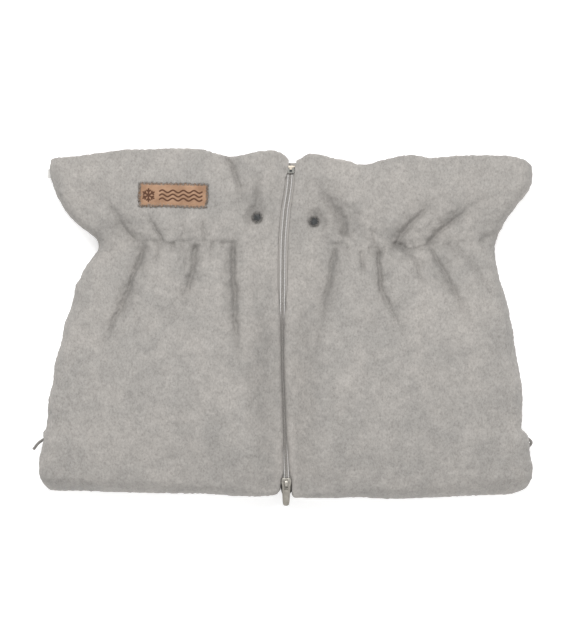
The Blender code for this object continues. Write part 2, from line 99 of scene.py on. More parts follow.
# How far each fabric lip stands from the chain: (Y, distance)
LIP_LEFT = [(-175, 6.0), (-160, 5.6), (-153, 5.2), (-147, 3.2), (-140, 2.2), (-128, 1.9),
            (-116, 1.4), (-100, 1.1), (-20, 1.0), (8, 1.4), (24, 3.0), (45, 4.4), (110, 4.6),
            (140, 4.3), (147.5, 4.8), (152, 3.4), (157, 2.2), (164, 1.5), (176, 1.5)]
LIP_RIGHT = [(-175, 5.6), (-160, 5.4), (-153, 5.2), (-147, 3.4), (-140, 2.4), (-128, 2.1),
             (-116, 1.5), (-100, 1.1), (-20, 1.0), (8, 1.6), (24, 3.2), (45, 4.6), (110, 4.8),
             (140, 4.6), (150, 4.6), (160, 4.9), (163, 5.8), (167, 8.5), (176, 14)]

# Outer side (Y, X), top edge (X, Y), bottom edge (X, Y), waist seam (X, Y) and the lip beside the
# zip (Y, distance from the chain); creases are (points, half width, depth), drawn from the waist.
# Most points of side, top and bottom were traced from the photo by a program and then adjusted:
# they should be redrawn with only the points that each outline needs.
MITTS = {
    "left": dict(
        sign=-1, lip=LIP_LEFT, seed=11,
        side=[
            (-172, -228), (-167, -232), (-162, -237), (-157, -242), (-151, -245), (-143, -246.5),
            (-131, -246), (-121, -243.5), (-113, -242), (-106, -243), (-101, -240), (-91, -238.5),
            (-77, -238), (-66, -236), (-54, -233), (-42, -232), (-30, -229.5), (-18, -225.5),
            (-6, -223), (6, -220.5), (18, -215.5), (30, -212.5), (41, -210.5), (48, -206.5),
            (55, -203.5), (61, -200), (67, -195.5), (73, -191), (79, -187.3), (85, -188),
            (91, -193), (97, -201), (103, -209), (109, -215), (115, -220), (121, -223.5),
            (133, -230), (145, -234), (151, -235.5), (160, -236.5), (165, -235.5), (169, -231),
            (180, -222)],
        top=[
            (-240, 164), (-234, 167.5), (-228, 169), (-210, 170), (-192, 172.5), (-176, 174.5),
            (-160, 176.5), (-136, 177), (-104, 178), (-88, 177.5), (-80, 176), (-72, 173.5),
            (-64, 171.5), (-56, 169.8), (-48, 170.5), (-32, 174), (-24, 175.5), (-14, 176),
            (-7, 174.5), (-1, 171), (4, 165)],
        bottom=[
            (-248, -160), (-240, -162.5), (-232, -163.5), (-192, -164.5), (-160, -165.5),
            (-136, -166), (-104, -166.5), (-80, -167), (-64, -168), (-48, -169.2), (-24, -169),
            (-14, -168.2), (-9, -166.5), (-6, -163), (0, -159)],
        waist=[
            (-190, 80), (-172, 84), (-150, 84.5), (-130, 84.5), (-110, 83.5), (-88, 85), (-70, 85),
            (-44, 84), (-20, 84), (0, 84)],
        creases=[
            ([(-139, 84), (-150, 56), (-160, 29), (-172, 4.5), (-182, -20), (-192, -42)], 9, 7.0),
            ([(-90, 84), (-92, 62), (-95, 44), (-103, 22), (-111, 2)], 10, 6.5),
            ([(-51.5, 84), (-52, 54), (-51.3, 24), (-49.3, -8), (-46.8, -35),
              (-46, -67)], 8.5, 7.5),
            ([(-150, 86), (-160, 98), (-168, 110), (-180, 130), (-194, 154)], 9, 4.6),
            ([(-122, 84), (-131.4, 102), (-138, 113)], 6, 4.0),
            ([(-83, 84), (-82, 101), (-80, 110)], 5, 2.4),
            ([(-103, 84), (-103, 113)], 5, 1.8),
            ([(-62, 174), (-56, 164), (-50, 150), (-46, 137), (-44.5, 118), (-45, 96)], 6.5, 5.0),
            ([(-29, 112), (-28, 128), (-25.5, 142), (-21, 158)], 11, 4.5),
            ([(-127, 84), (-130, 68), (-131, 60)], 6, 3.0),
            ([(-112, 84), (-114, 70)], 5, 2.6),
            ([(-103, 84), (-106, 68), (-110, 54)], 6, 1.6),
            ([(-74, 84), (-76, 70), (-77, 60)], 5.5, 2.8),
            ([(-63, 84), (-64, 72)], 4.5, 2.2),
            ([(-171, 84), (-176, 70), (-184, 54)], 7, 2.4),
        ]),
    "right": dict(
        sign=1, lip=LIP_RIGHT, seed=23,
        side=[
            (-172, 231), (-167, 236), (-161, 240), (-155, 243.5), (-149, 245.5), (-139, 246),
            (-131, 244), (-124, 243), (-113, 243), (-107, 241), (-101, 235.5), (-89, 236.5),
            (-65, 236.5), (-53, 235), (-41, 232.5), (-29, 230.5), (-17, 228.5), (-5, 227.2),
            (7, 224.5), (19, 222.5), (25, 221), (31, 219.3), (37, 217.5), (43, 215.3), (49, 213.3),
            (55, 212), (61, 211), (67, 209.6), (79, 209), (85, 210), (91, 212), (97, 214.8),
            (103, 218), (109, 221), (115, 226), (121, 230.5), (127, 235.5), (133, 240.5),
            (139, 244), (145, 246), (157, 246.5), (163, 244.5), (167, 240), (172, 232)],
        top=[
            (4, 163), (10, 166), (16, 169), (24, 172.8), (32, 172.3), (40, 170.5), (48, 168),
            (56, 166.5), (64, 164.8), (72, 161.5), (80, 162), (96, 166), (112, 170), (124, 171.2),
            (132, 170.4), (144, 168.2), (152, 168.8), (176, 170.8), (200, 171.2), (216, 171),
            (226, 170), (234, 168), (240, 165.5), (248, 160)],
        bottom=[
            (0, -159), (3.5, -161), (5.2, -166), (8.5, -170.2), (16, -170.3), (24, -171),
            (48, -171), (64, -170.5), (80, -170.8), (96, -172), (112, -172), (128, -171.2),
            (152, -170.5), (176, -169.2), (200, -168.2), (216, -168), (226, -166.8), (234, -164),
            (240, -161), (248, -156)],
        waist=[
            (0, 84), (30, 84), (47, 82), (60, 81), (73, 72.5), (80, 76), (91, 72.5), (103, 81),
            (112, 82), (122, 77), (142, 82), (167, 83.5), (190, 86), (212, 91)],
        creases=[
            ([(56, 90), (58, 100), (51, 112), (40, 128), (31, 140), (22, 155)], 16, 7.5),
            ([(49, 80), (45, 62), (43, 45), (38, 22), (33, 0), (27, -30), (23, -60)], 10, 6.2),
            ([(91, 80), (93.9, 49), (95, 39), (110, 3), (122, -18)], 7, 6.5),
            ([(111, 84), (127, 66), (134.6, 46.4), (140, 32)], 7, 4.2),
            ([(143, 80), (155, 58), (167, 34), (182, 9), (191, -8)], 10, 5.6),
            ([(166.7, 84), (184, 63.7), (199, 40), (206, 20)], 8, 3.4),
            ([(191, 84), (206, 92), (214, 96)], 8, 4.0),
            ([(106, 79), (117, 94), (129, 108), (142, 121), (157, 134)], 10, 6.5),
            ([(139, 82), (154, 96), (170, 108), (186, 121), (202, 134)], 10, 6.0),
            ([(88, 76), (87, 92), (87, 108)], 5.5, 2.6),
            ([(61, 80), (62, 66), (61, 58)], 5, 2.4),
            ([(74, 76), (76, 60), (78, 50)], 6, 3.0),
            ([(82, 80), (84, 64)], 4.5, 2.4),
            ([(122, 80), (126, 88)], 5, 2.2),
            ([(104, 78), (108, 62)], 5.5, 1.4),
            ([(160, 84), (170, 68), (175, 58)], 6, 2.6),
        ]),
}

LIP_Z = 28.0 * MM               # fabric edge beside the zip, just above the tape
BAND_Z = 30.0 * MM              # front beside the open part of the zip
BACK_BAND_Z = 17.5 * MM
SIDE_ROUND, HEM_ROUND, BACK_ROUND = 19 * MM, 19 * MM, 18 * MM
SIDE_SAG, HEM_SAG = 0.26, 0.24  # share of the crown lost towards side and hem
WAVES, RIPPLES = 2.6 * MM, 0.8 * MM     # broad and small unevenness of the stuffing
ZIP_RAISE, CORNER_RAISE = 13 * MM, 4.4 * MM     # hem edge beside the zip
SLIT_Y, SLIT_FLAT, SLIT_HALF, SLIT_RAISE = -133 * MM, 15 * MM, 31 * MM, 15 * MM
RIM = 2.7 * MM                  # rolled edge of the hand openings
ROLL_ROWS, MOUTH_TUCKS = 10, (3, 8, 14)     # rows of that roll, and its tuck inside in mm
MOUTH_ROWS = ROLL_ROWS + len(MOUTH_TUCKS)
STRAY = 0.45 * MM               # raggedness of the pile, sideways
FRONT_PITCH, BACK_PITCH, LINING_PITCH = 1.05 * MM, 2.6 * MM, 2.4 * MM
LINING_DEPTH = 3.8 * MM
SNAPS = {name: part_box(f"{name}_snap_cap") for name in MITTS}
SNAPS = {name: ((low.x + high.x) / 2, (low.y + high.y) / 2)
         for name, (low, high) in SNAPS.items()}
SNAP_REACH = 23 * MM            # fabric round a press stud that lifts with it


# ---- numbers

def spline(points, values):
    """Monotone cubic through (x, y) points, read at an array of values in metres."""
    xs, ys = np.array(points, dtype=float).T * MM
    q = np.clip(values, xs[0], xs[-1])
    step = np.diff(xs)
    slope = np.diff(ys) / step
    tangent = np.zeros(len(xs))
    tangent[0], tangent[-1] = slope[0], slope[-1]
    same = slope[:-1] * slope[1:] > 0
    total = np.where(same, slope[:-1] + slope[1:], 1.0)
    tangent[1:-1] = np.where(same, 2 * slope[:-1] * slope[1:] / total, 0.0)
    i = np.clip(np.searchsorted(xs, q, side="right") - 1, 0, len(step) - 1)
    t = (q - xs[i]) / step[i]
    h00, h10 = (1 + 2 * t) * (1 - t) ** 2, t * (1 - t) ** 2
    h01, h11 = t * t * (3 - 2 * t), t * t * (t - 1)
    return (h00 * ys[i] + h10 * step[i] * tangent[i]
            + h01 * ys[i + 1] + h11 * step[i] * tangent[i + 1])


def smooth(t):
    t = np.clip(t, 0.0, 1.0)
    return t * t * (3.0 - 2.0 * t)


def rounded(distance, radius):
    """Rounded rise: 0 and upright at an edge, 1 and level from one radius in."""
    t = 1.0 - np.clip(distance / radius, 0.0, 1.0)
    return np.sqrt(np.maximum(0.0, 1.0 - t ** 3.6))


def rise(value, start, length):
    """Smooth step from 0 at start to 1 one length further on, both in millimetres."""
    return smooth((value - start * MM) / (length * MM))


def fall(value, end, length):
    """Smooth step from 1 down to 0 at end."""
    return smooth((end * MM - value) / (length * MM))


def value_noise(x, y, cell, seed):
    """Smooth noise from -1 to 1; cell is the size of its features in millimetres."""
    table = np.random.default_rng(seed).uniform(-1.0, 1.0, (128, 128))
    gx, gy = x / (cell * MM) + 512.0, y / (cell * MM) + 512.0
    ix, iy = np.floor(gx).astype(int), np.floor(gy).astype(int)
    fx, fy = smooth(gx - ix), smooth(gy - iy)
    c00, c01 = table[ix % 128, iy % 128], table[ix % 128, (iy + 1) % 128]
    c10, c11 = table[(ix + 1) % 128, iy % 128], table[(ix + 1) % 128, (iy + 1) % 128]
    return (c00 * (1 - fy) + c01 * fy) * (1 - fx) + (c10 * (1 - fy) + c11 * fy) * fx


def route(points, per_span):
    """Catmull-Rom line through given points, which may be 2D or 3D."""
    pts = np.array(points, dtype=float)
    pts = np.vstack([2 * pts[0] - pts[1], pts, 2 * pts[-1] - pts[-2]])
    out = []
    for p0, p1, p2, p3 in zip(pts, pts[1:], pts[2:], pts[3:]):
        for k in range(per_span):
            t = k / per_span
            out.append(0.5 * (2 * p1 + (p2 - p0) * t + (2 * p0 - 5 * p1 + 4 * p2 - p3) * t ** 2
                              + (3 * p1 - p0 - 3 * p2 + p3) * t ** 3))
    return np.array(out + [pts[-2]])


def distance_to_line(x, y, line):
    """Distance to a polyline, and the place along it from 0 to 1."""
    best, along = np.full(x.shape, 1e9), np.zeros(x.shape)
    spans = len(line) - 1
    for k, (a, b) in enumerate(zip(line, line[1:])):
        d = b - a
        t = np.clip(((x - a[0]) * d[0] + (y - a[1]) * d[1]) / (d @ d), 0.0, 1.0)
        r = np.hypot(x - a[0] - t * d[0], y - a[1] - t * d[1])
        near = r < best
        best = np.where(near, r, best)
        along = np.where(near, (k + t) / spans, along)
    return best, along


# ---- heights of the panels

def chain_x(y):
    """Middle of the visible chain: the CAD's zip line plus its bow."""
    return ZIP_X0 + LEAN * y + spline(ZIP_BOW, y)


def slit(y):
    """1 in the middle of the handlebar slits, 0 above and below them."""
    return smooth((SLIT_HALF - np.abs(y - SLIT_Y)) / (SLIT_HALF - SLIT_FLAT))


def edges(mitt, x, y):
    """Distances inwards from the chain, the side seam, the hem and the lip."""
    s = mitt["sign"] * (x - chain_x(y))
    e = mitt["sign"] * (spline(mitt["side"], y) - x)
    b = y - spline(mitt["bottom"], x)
    return s, e, b, spline(mitt["lip"], y)


def snap_distance(name, x, y):
    """Distance from the middle of a mitt's press stud."""
    sx, sy = SNAPS[name]
    return np.hypot(x - sx, y - sy)


def creased(mitt, x, y):
    """How far creases, gathers and waist seam press the front down, and how much painted shade lies in them.
    """
    seed = mitt["seed"]
    down, painted_shade = np.zeros(x.shape), np.zeros(x.shape)
    ragged = value_noise(x, y, 4.5, seed + 7)
    wander = x + 1.3 * MM * value_noise(x, y, 8, seed + 12)
    for points, half, depth in mitt["creases"]:
        r, along = distance_to_line(wander, y, route(points, 4) * MM)
        wide = r / (half * MM) * (1.0 + 0.30 * ragged)
        fade = smooth((1.0 - along) / 0.66) * smooth(0.3 + along / 0.10)
        core, soft = np.exp(-(wide / 0.27) ** 2), np.exp(-(wide / 0.90) ** 2)
        down += depth * MM * fade * (0.56 * core + 0.64 * soft)
        # painted shade: each crease's core and shoulders are darkened in the fleece's colour
        painted_shade += depth / 8.0 * fade * (0.37 * core + 0.34 * soft)
    s, e, _, _ = edges(mitt, x, y)

    def across(cell, number):
        """Noise that changes only from side to side."""
        return value_noise(x, y * 0, cell, seed + number)

    seam = y - spline(mitt["waist"], x) + 1.5 * MM * across(9, 9)
    drawn = (0.75 + 0.5 * across(13, 6)) * rise(s, 38, 14) * rise(e, 16, 26)
    stitched = np.exp(-(seam / (2.2 * MM)) ** 2) * drawn
    puffs = across(8.5, 0) + 0.5 * across(4.5, 1)
    below = np.exp(-((seam + 9 * MM) / (9 * MM)) ** 2)
    above = np.exp(-((seam - 8 * MM) / (8 * MM)) ** 2)
    down += 2.0 * MM * stitched
    down -= puffs * (1.5 * MM * below + 1.1 * MM * above) + 1.6 * MM * below
    # painted shade along the waist seam's stitching, added to the creases'
    return down, np.clip(painted_shade + 0.20 * stitched, 0.0, 0.8)


def front_z(name, x, y, pile=1.0):
    """Outer surface of a front panel."""
    mitt = MITTS[name]
    seed = mitt["seed"]
    s, e, b, lip = edges(mitt, x, y)
    hidden = (1.0 - rise(y, 2, 34)) * rise(y, -166, 36)       # where the lips hide the chain
    band = BAND_Z + 4.5 * MM * hidden
    reach = 62 * MM - 22 * MM * hidden
    inner = band + (spline(DOME, y) - band) * smooth((s - 3 * MM) / reach)
    waves = WAVES * value_noise(x, y * 0.45, 31, seed + 2)
    waves = waves + RIPPLES * value_noise(x, y, 15, seed + 3)
    calm = rounded(e, 12 * MM) * rounded(b, 30 * MM) * rise(s - lip, 2, 16)
    inner = inner + (waves - creased(mitt, x, y)[0]) * calm
    low = LIP_Z + 1.9 * MM * rise(y, 138, 14)
    inner = low + (inner - low) * rounded(s - lip, (3.0 + 4.5 * hidden) * MM)
    near_zip = fall(s, 62, 40)
    edge = SEAM_Z + 0.3 * MM + SLIT_RAISE * slit(y) * rise(s, 80, 60)
    edge = edge + ZIP_RAISE * near_zip + CORNER_RAISE * fall(s, 16, 8)
    at_side, at_hem = 1.0 - rise(e, 0, 75), 1.0 - rise(b, 0, 65)
    crown = (1.0 - SIDE_SAG * at_side) * (1.0 - HEM_SAG * at_hem * (1.0 - near_zip))
    hem_round = HEM_ROUND - 11 * MM * near_zip
    z = edge + (inner - edge) * crown * rounded(e, SIDE_ROUND) * rounded(b, hem_round)
    r = snap_distance(name, x, y)
    z = z + (SNAP_Z - z) * (1.0 - rise(r, 4.6, 11))
    fuzz = 0.30 * value_noise(x, y, 5.2, seed + 4) + 0.20 * value_noise(x, y, 2.7, seed + 5)
    return z + fuzz * pile * MM * rise(r, 3.5, 3) * rise(s - lip, 0, 3)


def back_z(name, x, y, pile=1.0):
    """Outer, lower surface of a back panel: flat on the table, rising to its edges."""
    mitt = MITTS[name]
    s, e, b, _ = edges(mitt, x, y)
    near_zip = 1.0 - rise(s, 14.5, 38)
    open_slit = slit(np.maximum(y, SLIT_Y))
    z = (BACK_BAND_Z - 14 * MM * open_slit) * near_zip
    from_waist = np.abs(y - spline(mitt["waist"], x))
    z = z + 3.0 * MM * fall(from_waist, 24, 24) * (1.0 - near_zip)
    rim = SEAM_Z - 0.3 * MM
    z = z + (rim - z) * (1.0 - rounded(e, BACK_ROUND))
    z = z + (rim - z) * (1.0 - rounded(b, BACK_ROUND)) * (1.0 - 0.5 * open_slit * near_zip)
    r = snap_distance(name, x, y)
    z = z + (SNAP_BACK_Z - z) * (1.0 - rise(r, 6, 12))
    fuzz = 0.25 * value_noise(x, y, 6, mitt["seed"] + 8) * pile * MM
    return np.maximum(z + fuzz, 0.05 * MM)


# ---- grids

def panel_grid(name, part, pitch, inset=0.0):
    """Rows of points over a panel's outer surface, its edges rolled under: [row][column][xyz].

    inset keeps the grid back from the lip, sides and hem, for linings."""
    mitt = MITTS[name]
    if part == "front":
        up, height, side_turn, hem_turn = 1, front_z, SIDE_ROUND, HEM_ROUND
    else:
        up, height, side_turn, hem_turn = -1, back_z, BACK_ROUND, BACK_ROUND

    def rolled(turn, first, last):
        """Distances in from an edge, closer together where the fabric stands upright."""
        arc = np.radians(np.linspace(first, last, max(8, int(1.35 * turn / pitch))))
        return turn * (1.0 - np.cos(arc)) + inset

    outer, low = rolled(side_turn, 90, 0), rolled(hem_turn, 0, 88)
    inner_count, up_count = int(205 * MM / pitch), int(305 * MM / pitch)
    lip_near = (np.linspace(0, 1, 7)[:-1] ** 2) * 4 * MM
    first, last, hem = len(lip_near), len(lip_near) + inner_count - 1, len(low)
    t = np.linspace(0, 1, inner_count + 1)[None, 1:-1]
    t_up = np.linspace(0, 1, up_count)[1:, None]
    x = np.zeros((hem + up_count - 1, last + len(outer)))
    y = np.zeros(x.shape)
    y[:hem] = -160 * MM
    y[hem:] = -135 * MM * (1 - t_up) + 168 * MM * t_up
    for _ in range(6):      # x follows from y and y from x, so they settle together
        lip, line = spline(mitt["lip"], y), chain_x(y)
        width = mitt["sign"] * (spline(mitt["side"], y) - line)
        start = (lip + inset + lip_near[-1])[:, first:last]
        x[:, :first] = lip[:, :first] + inset + lip_near
        x[:, first:last] = start * (1 - t) + (width[:, first:last] - outer[0]) * t
        x[:, last:] = width[:, last:] - outer
        x = line + mitt["sign"] * x
        bottom, top = spline(mitt["bottom"], x), spline(mitt["top"], x) - RIM
        y[:hem] = bottom[:hem] + low[:, None]
        y[hem:] = (bottom[hem:] + low[-1]) * (1 - t_up) + top[hem:] * t_up
    z = height(name, x, y)
    away = rise(np.abs(x - chain_x(y)), 9, 9)
    x = x + STRAY * value_noise(x, y, 2.6, mitt["seed"] + 50) * away
    y = y + STRAY * value_noise(x, y, 2.6, mitt["seed"] + 51)
    gap = front_z(name, x[-1], y[-1], 0.0) - back_z(name, x[-1], y[-1], 0.0)
    return rolled_mouth(np.stack([x, y, z], axis=-1), up, gap)


def rolled_mouth(points, up, gap):
    """Add rows that roll the last edge over and tuck it a little way inside."""
    radius = np.clip(gap / 4 - 0.1 * MM, 0.2 * MM, RIM)[:, None]
    rows = []
    for a in np.radians(np.linspace(0, 180, ROLL_ROWS + 1)[1:]):
        rows.append(points[-1] + radius * np.array([0.0, math.sin(a), -up * (1 - math.cos(a))]))
    inner = rows[-1]
    rows += [inner - np.array([0.0, tuck * MM, 0.0]) for tuck in MOUTH_TUCKS]
    return np.concatenate([points, np.array(rows)])


def tucked(points, up, sign):
    """Turn the two side edges and the hem a little way inwards, so that no raw edge shows."""
    def moved(edge, dx, dy, dz):
        return edge + np.array([sign * dx, dy, -up * dz]) * MM

    lip, side = points[:, :1], points[:, -1:]
    lips = [moved(lip, dx, 0, dz) for dx, dz in ((9, 1.5), (3.5, 1.5), (1.2, 1.4), (0.35, 0.8))]
    sides = [moved(side, -dx, 0, 1.3) for dx in (0.8, 5.0)]
    points = np.concatenate([*lips, points, *sides], axis=1)
    return np.concatenate([*(moved(points[:1], 0, dy, 1.3) for dy in (5.0, 0.8)), points], axis=0)


def mesh_from_grid(name, points, up, mat, keep=None):
    """A mesh over a grid of points; keep is a mask of its cells, up says which way it faces."""
    rows, cols = points.shape[:2]
    index = np.arange(rows * cols).reshape(rows, cols)
    quads = np.stack([index[:-1, :-1], index[:-1, 1:], index[1:, 1:], index[1:, :-1]], axis=-1)
    quads = quads.reshape(-1, 4) if keep is None else quads[keep]
    flat = points.reshape(-1, 3)
    used = np.unique(quads)
    renumber = np.zeros(len(flat), dtype=int)
    renumber[used] = np.arange(len(used))
    quads = renumber[quads]
    corner = flat[used][quads]
    normal = np.cross(corner[:, 2] - corner[:, 0], corner[:, 3] - corner[:, 1]).sum(axis=0)
    if normal[2] * up < 0:
        quads = quads[:, ::-1]
    return new_mesh(name, flat[used], quads, mat)


def new_mesh(name, verts, quads, mat):
    mesh = bpy.data.meshes.new(name)
    mesh.vertices.add(len(verts))
    mesh.vertices.foreach_set("co", np.asarray(verts, dtype=np.float32).ravel())
    mesh.loops.add(len(quads) * 4)
    mesh.loops.foreach_set("vertex_index", np.asarray(quads, dtype=np.int32).ravel())
    mesh.polygons.add(len(quads))
    mesh.polygons.foreach_set("loop_start", np.arange(0, len(quads) * 4, 4, dtype=np.int32))
    mesh.update(calc_edges=True)
    mesh.validate()
    mesh.shade_smooth()
    mesh.materials.append(MATS[mat])
    return linked(name, mesh)


def linked(name, data):
    obj = bpy.data.objects.new(name, data)
    bpy.context.scene.collection.objects.link(obj)
    return obj


def paint(obj, layer, values):
    """A number on every vertex, which the materials read."""
    made = obj.data.attributes.new(layer, "FLOAT", "POINT")
    made.data.foreach_set("value", np.asarray(values, dtype=np.float32).ravel())


def sheet_normals(points, up):
    """Unit normals of a grid, on the side it faces."""
    du = np.gradient(points, axis=1)
    dv = np.gradient(points, axis=0)
    n = np.cross(du, dv)
    n /= np.maximum(np.linalg.norm(n, axis=-1, keepdims=True), 1e-12)
    flip = np.sign(n[..., 2].sum()) * up
    return n * flip


def thicken(obj, thickness):
    mod = obj.modifiers.new("thickness", "SOLIDIFY")
    mod.thickness, mod.offset = thickness, -1.0


def bevel(obj, width, segments=2, angle=30):
    mod = obj.modifiers.new("edges", "BEVEL")
    mod.width, mod.segments, mod.limit_method = width, segments, "ANGLE"
    mod.angle_limit = math.radians(angle)


# ---- materials

class Shader:
    """A material's node tree with short calls for the nodes used here."""

    def __init__(self, name, rough=0.9, metal=0.0, sheen=0.0, spec=0.3):
        self.mat = bpy.data.materials.new(name)
        self.mat.use_nodes = True
        self.tree = self.mat.node_tree
        self.bsdf = self.tree.nodes["Principled BSDF"]
        for key, value in (("Roughness", rough), ("Metallic", metal), ("Sheen Weight", sheen),
                           ("Specular IOR Level", spec), ("Sheen Roughness", 0.6)):
            self.bsdf.inputs[key].default_value = value
        self.place = self.node("ShaderNodeTexCoord").outputs["Object"]

    def node(self, kind, **values):
        made = self.tree.nodes.new(kind)
        for key, value in values.items():
            setattr(made, key, value)
        return made

    def wire(self, socket, target):
        self.tree.links.new(socket, target)

    def texture(self, kind, output, place=None, **settings):
        made = self.node(kind)
        for key, value in settings.items():
            made.inputs[key].default_value = value
        self.wire(place or self.place, made.inputs["Vector"])
        return made.outputs[output]

    def stretch(self, scale, turn=(0, 0, 0)):
        return self.texture("ShaderNodeMapping", "Vector", Scale=scale, Rotation=turn)

    def noise(self, scale, detail=3.0, rough=0.55, place=None, distortion=0.0):
        return self.texture("ShaderNodeTexNoise", "Fac", place, Scale=scale, Detail=detail,
                            Roughness=rough, Distortion=distortion)

    def wave(self, scale, place, distortion=0.0):
        return self.texture("ShaderNodeTexWave", "Fac", place, Scale=scale, Distortion=distortion)

    def cells(self, scale):
        return self.texture("ShaderNodeTexVoronoi", "Distance", Scale=scale)

    def ramp(self, fac, stops):
        made = self.node("ShaderNodeValToRGB")
        elements = made.color_ramp.elements
        for element, (position, colour) in zip(elements, (stops[0], stops[-1])):
            element.position, element.color = position, (*colour, 1)
        for position, colour in stops[1:-1]:
            elements.new(position).color = (*colour, 1)
        self.wire(fac, made.inputs["Fac"])
        return made.outputs["Color"]

    def feed(self, sockets, values):
        """Wire each value in, or set it as a plain number or colour."""
        for socket, value in zip(sockets, values):
            if isinstance(value, bpy.types.NodeSocket):
                self.wire(value, socket)
            else:
                socket.default_value = (*value, 1) if isinstance(value, tuple) else value

    def mix(self, fac, a, b, blend="MIX"):
        made = self.node("ShaderNodeMix", data_type="RGBA", blend_type=blend)
        self.feed([made.inputs[k] for k in (0, 6, 7)], (fac, a, b))     # its colour sockets
        return made.outputs[2]

    def maths(self, operation, a, b):
        made = self.node("ShaderNodeMath", operation=operation)
        self.feed(made.inputs, (a, b))
        return made.outputs[0]

    def times(self, a, b):
        return self.maths("MULTIPLY", a, b)

    def plus(self, a, b):
        return self.maths("ADD", a, b)

    def attribute(self, name):
        return self.node("ShaderNodeAttribute", attribute_name=name).outputs["Fac"]

    def finish(self, colour, height=None, distance=0.5 * MM, strength=0.5, rough=None):
        self.wire(colour, self.bsdf.inputs["Base Color"])
        if rough is not None:
            self.wire(rough, self.bsdf.inputs["Roughness"])
        if height is not None:
            bump = self.node("ShaderNodeBump")
            bump.inputs["Distance"].default_value = distance
            bump.inputs["Strength"].default_value = strength
            self.wire(height, bump.inputs["Height"])
            self.wire(bump.outputs["Normal"], self.bsdf.inputs["Normal"])
        return self.mat


def grey(level, warm=0.052):
    return (level, level * (1 - warm), level * (1 - 2.1 * warm))


def fleece_material(name, level):
    """Short brushed pile: mottled tufts, dark flecks, pale nap ends, and painted shade in creases, along the
    waist seam, round the press studs and round the label.
    """
    m = Shader(name, rough=0.96, sheen=0.10, spec=0.10)
    cloud = m.noise(26, 3, 0.6, distortion=0.5)
    patch = m.noise(120, 3, 0.6, distortion=0.6)
    tuft = m.noise(560, 5, 0.75, m.stretch((1.0, 0.70, 0.8), (0, 0, 0.18)), 0.4)
    fibre = m.noise(1150, 3, 0.7, m.stretch((1.0, 0.55, 0.7), (0, 0, -0.25)))
    shades = ((0.34, 0.70), (0.48, 0.97), (0.66, 1.22))
    tone = m.ramp(tuft, [(at, grey(level * share)) for at, share in shades])
    patches = m.ramp(patch, [(0.34, (0.86,) * 3), (0.66, (1.12,) * 3)])
    clouds = m.ramp(cloud, [(0.34, (0.875, 0.885, 0.89)), (0.66, (1.095, 1.09, 1.085))])
    tone = m.mix(0.8, tone, patches, "MULTIPLY")
    tone = m.mix(1.0, tone, clouds, "MULTIPLY")
    tone = m.mix(m.times(fibre, 0.45), tone, grey(level * 1.25))
    # painted shade: darker towards 0.3 of the pile's grey where the painted shade attribute is high
    tone = m.mix(m.times(m.attribute("painted_shade"), 0.60), tone, grey(level * 0.30))
    height = m.plus(m.times(fibre, 0.6), m.times(tuft, 1.1))
    return m.finish(tone, height, 0.9 * MM, 0.6)


def sherpa_material():
    """Curly pile lining."""
    m = Shader("sherpa_pile", rough=0.95, sheen=0.2, spec=0.1)
    curl = m.noise(420, 4, 0.6, distortion=1.4)
    lump = m.noise(140, 2)
    tone = m.ramp(lump, [(0.3, (0.62, 0.58, 0.51)), (0.7, (0.80, 0.77, 0.71))])
    return m.finish(tone, m.plus(curl, lump), 1.2 * MM, 0.7)


def tape_material():
    """Herringbone tape with lengthways cords, and painted shadow on its lowest end."""
    m = Shader("zip_tape_weave", rough=0.8, sheen=0.1, spec=0.2)
    left, right = (m.wave(420, m.stretch((1, 1, 0), (0, 0, turn))) for turn in (0.78, -0.78))
    cords = m.wave(190, m.stretch((1, 0, 0)))
    weave = m.mix(m.maths("GREATER_THAN", cords, 0.5), left, right)
    tone = m.mix(weave, grey(0.41), grey(0.51))
    tone = m.mix(m.times(m.noise(600, 3), 0.4), tone, grey(0.46))
    # painted shadow: the tape's lowest end, beside the slider and pull, goes near black
    tone = m.mix(m.attribute("end_shadow"), tone, grey(0.06))
    return m.finish(tone, weave, 0.12 * MM, 0.8)


def coil_material():
    m = Shader("zip_coil_nylon", rough=0.42, spec=0.45)
    tone = m.ramp(m.noise(700, 3), [(0.3, grey(0.35)), (0.7, grey(0.50))])
    return m.finish(tone, m.noise(2600, 2), 0.05 * MM, 0.3)


def thread_material(name, level, warm=0.03):
    m = Shader(name, rough=0.7, sheen=0.1, spec=0.25)
    twist = m.wave(1500, m.stretch((1, 1, 1), (0, 0, 0.6)), distortion=0.6)
    tone = m.mix(twist, grey(level * 0.85, warm), grey(level * 1.1, warm))
    return m.finish(tone, twist, 0.08 * MM, 0.7)


def metal_material(name, colour, rough, wear):
    """Plated metal: fine tumbling marks, brighter and darker in spots."""
    m = Shader(name, rough=rough, metal=1.0, spec=0.5)
    scratches = m.noise(1800, 4, 0.7, m.stretch((1, 0.15, 1), (0, 0, 0.4)))
    spots = m.noise(420, 3)
    dark = tuple(c * wear for c in colour)
    marks = m.plus(m.times(scratches, 0.5), m.times(spots, 0.5))
    tone = m.ramp(marks, [(0.35, dark), (0.65, colour)])
    shine = m.ramp(spots, [(0.3, (rough * 0.8,) * 3), (0.7, (rough * 1.3,) * 3)])
    return m.finish(tone, scratches, 0.04 * MM, 0.4, shine)


def pull_material():
    """Matt painted zinc, paler and darker in spots."""
    m = Shader("zip_pull_paint", rough=0.55, metal=0.25, spec=0.4)
    grain = m.noise(1500, 3)
    spots = m.noise(260, 3)
    tone = m.ramp(spots, [(0.35, (0.24, 0.225, 0.195)), (0.65, (0.32, 0.30, 0.265))])
    return m.finish(tone, grain, 0.05 * MM, 0.5)


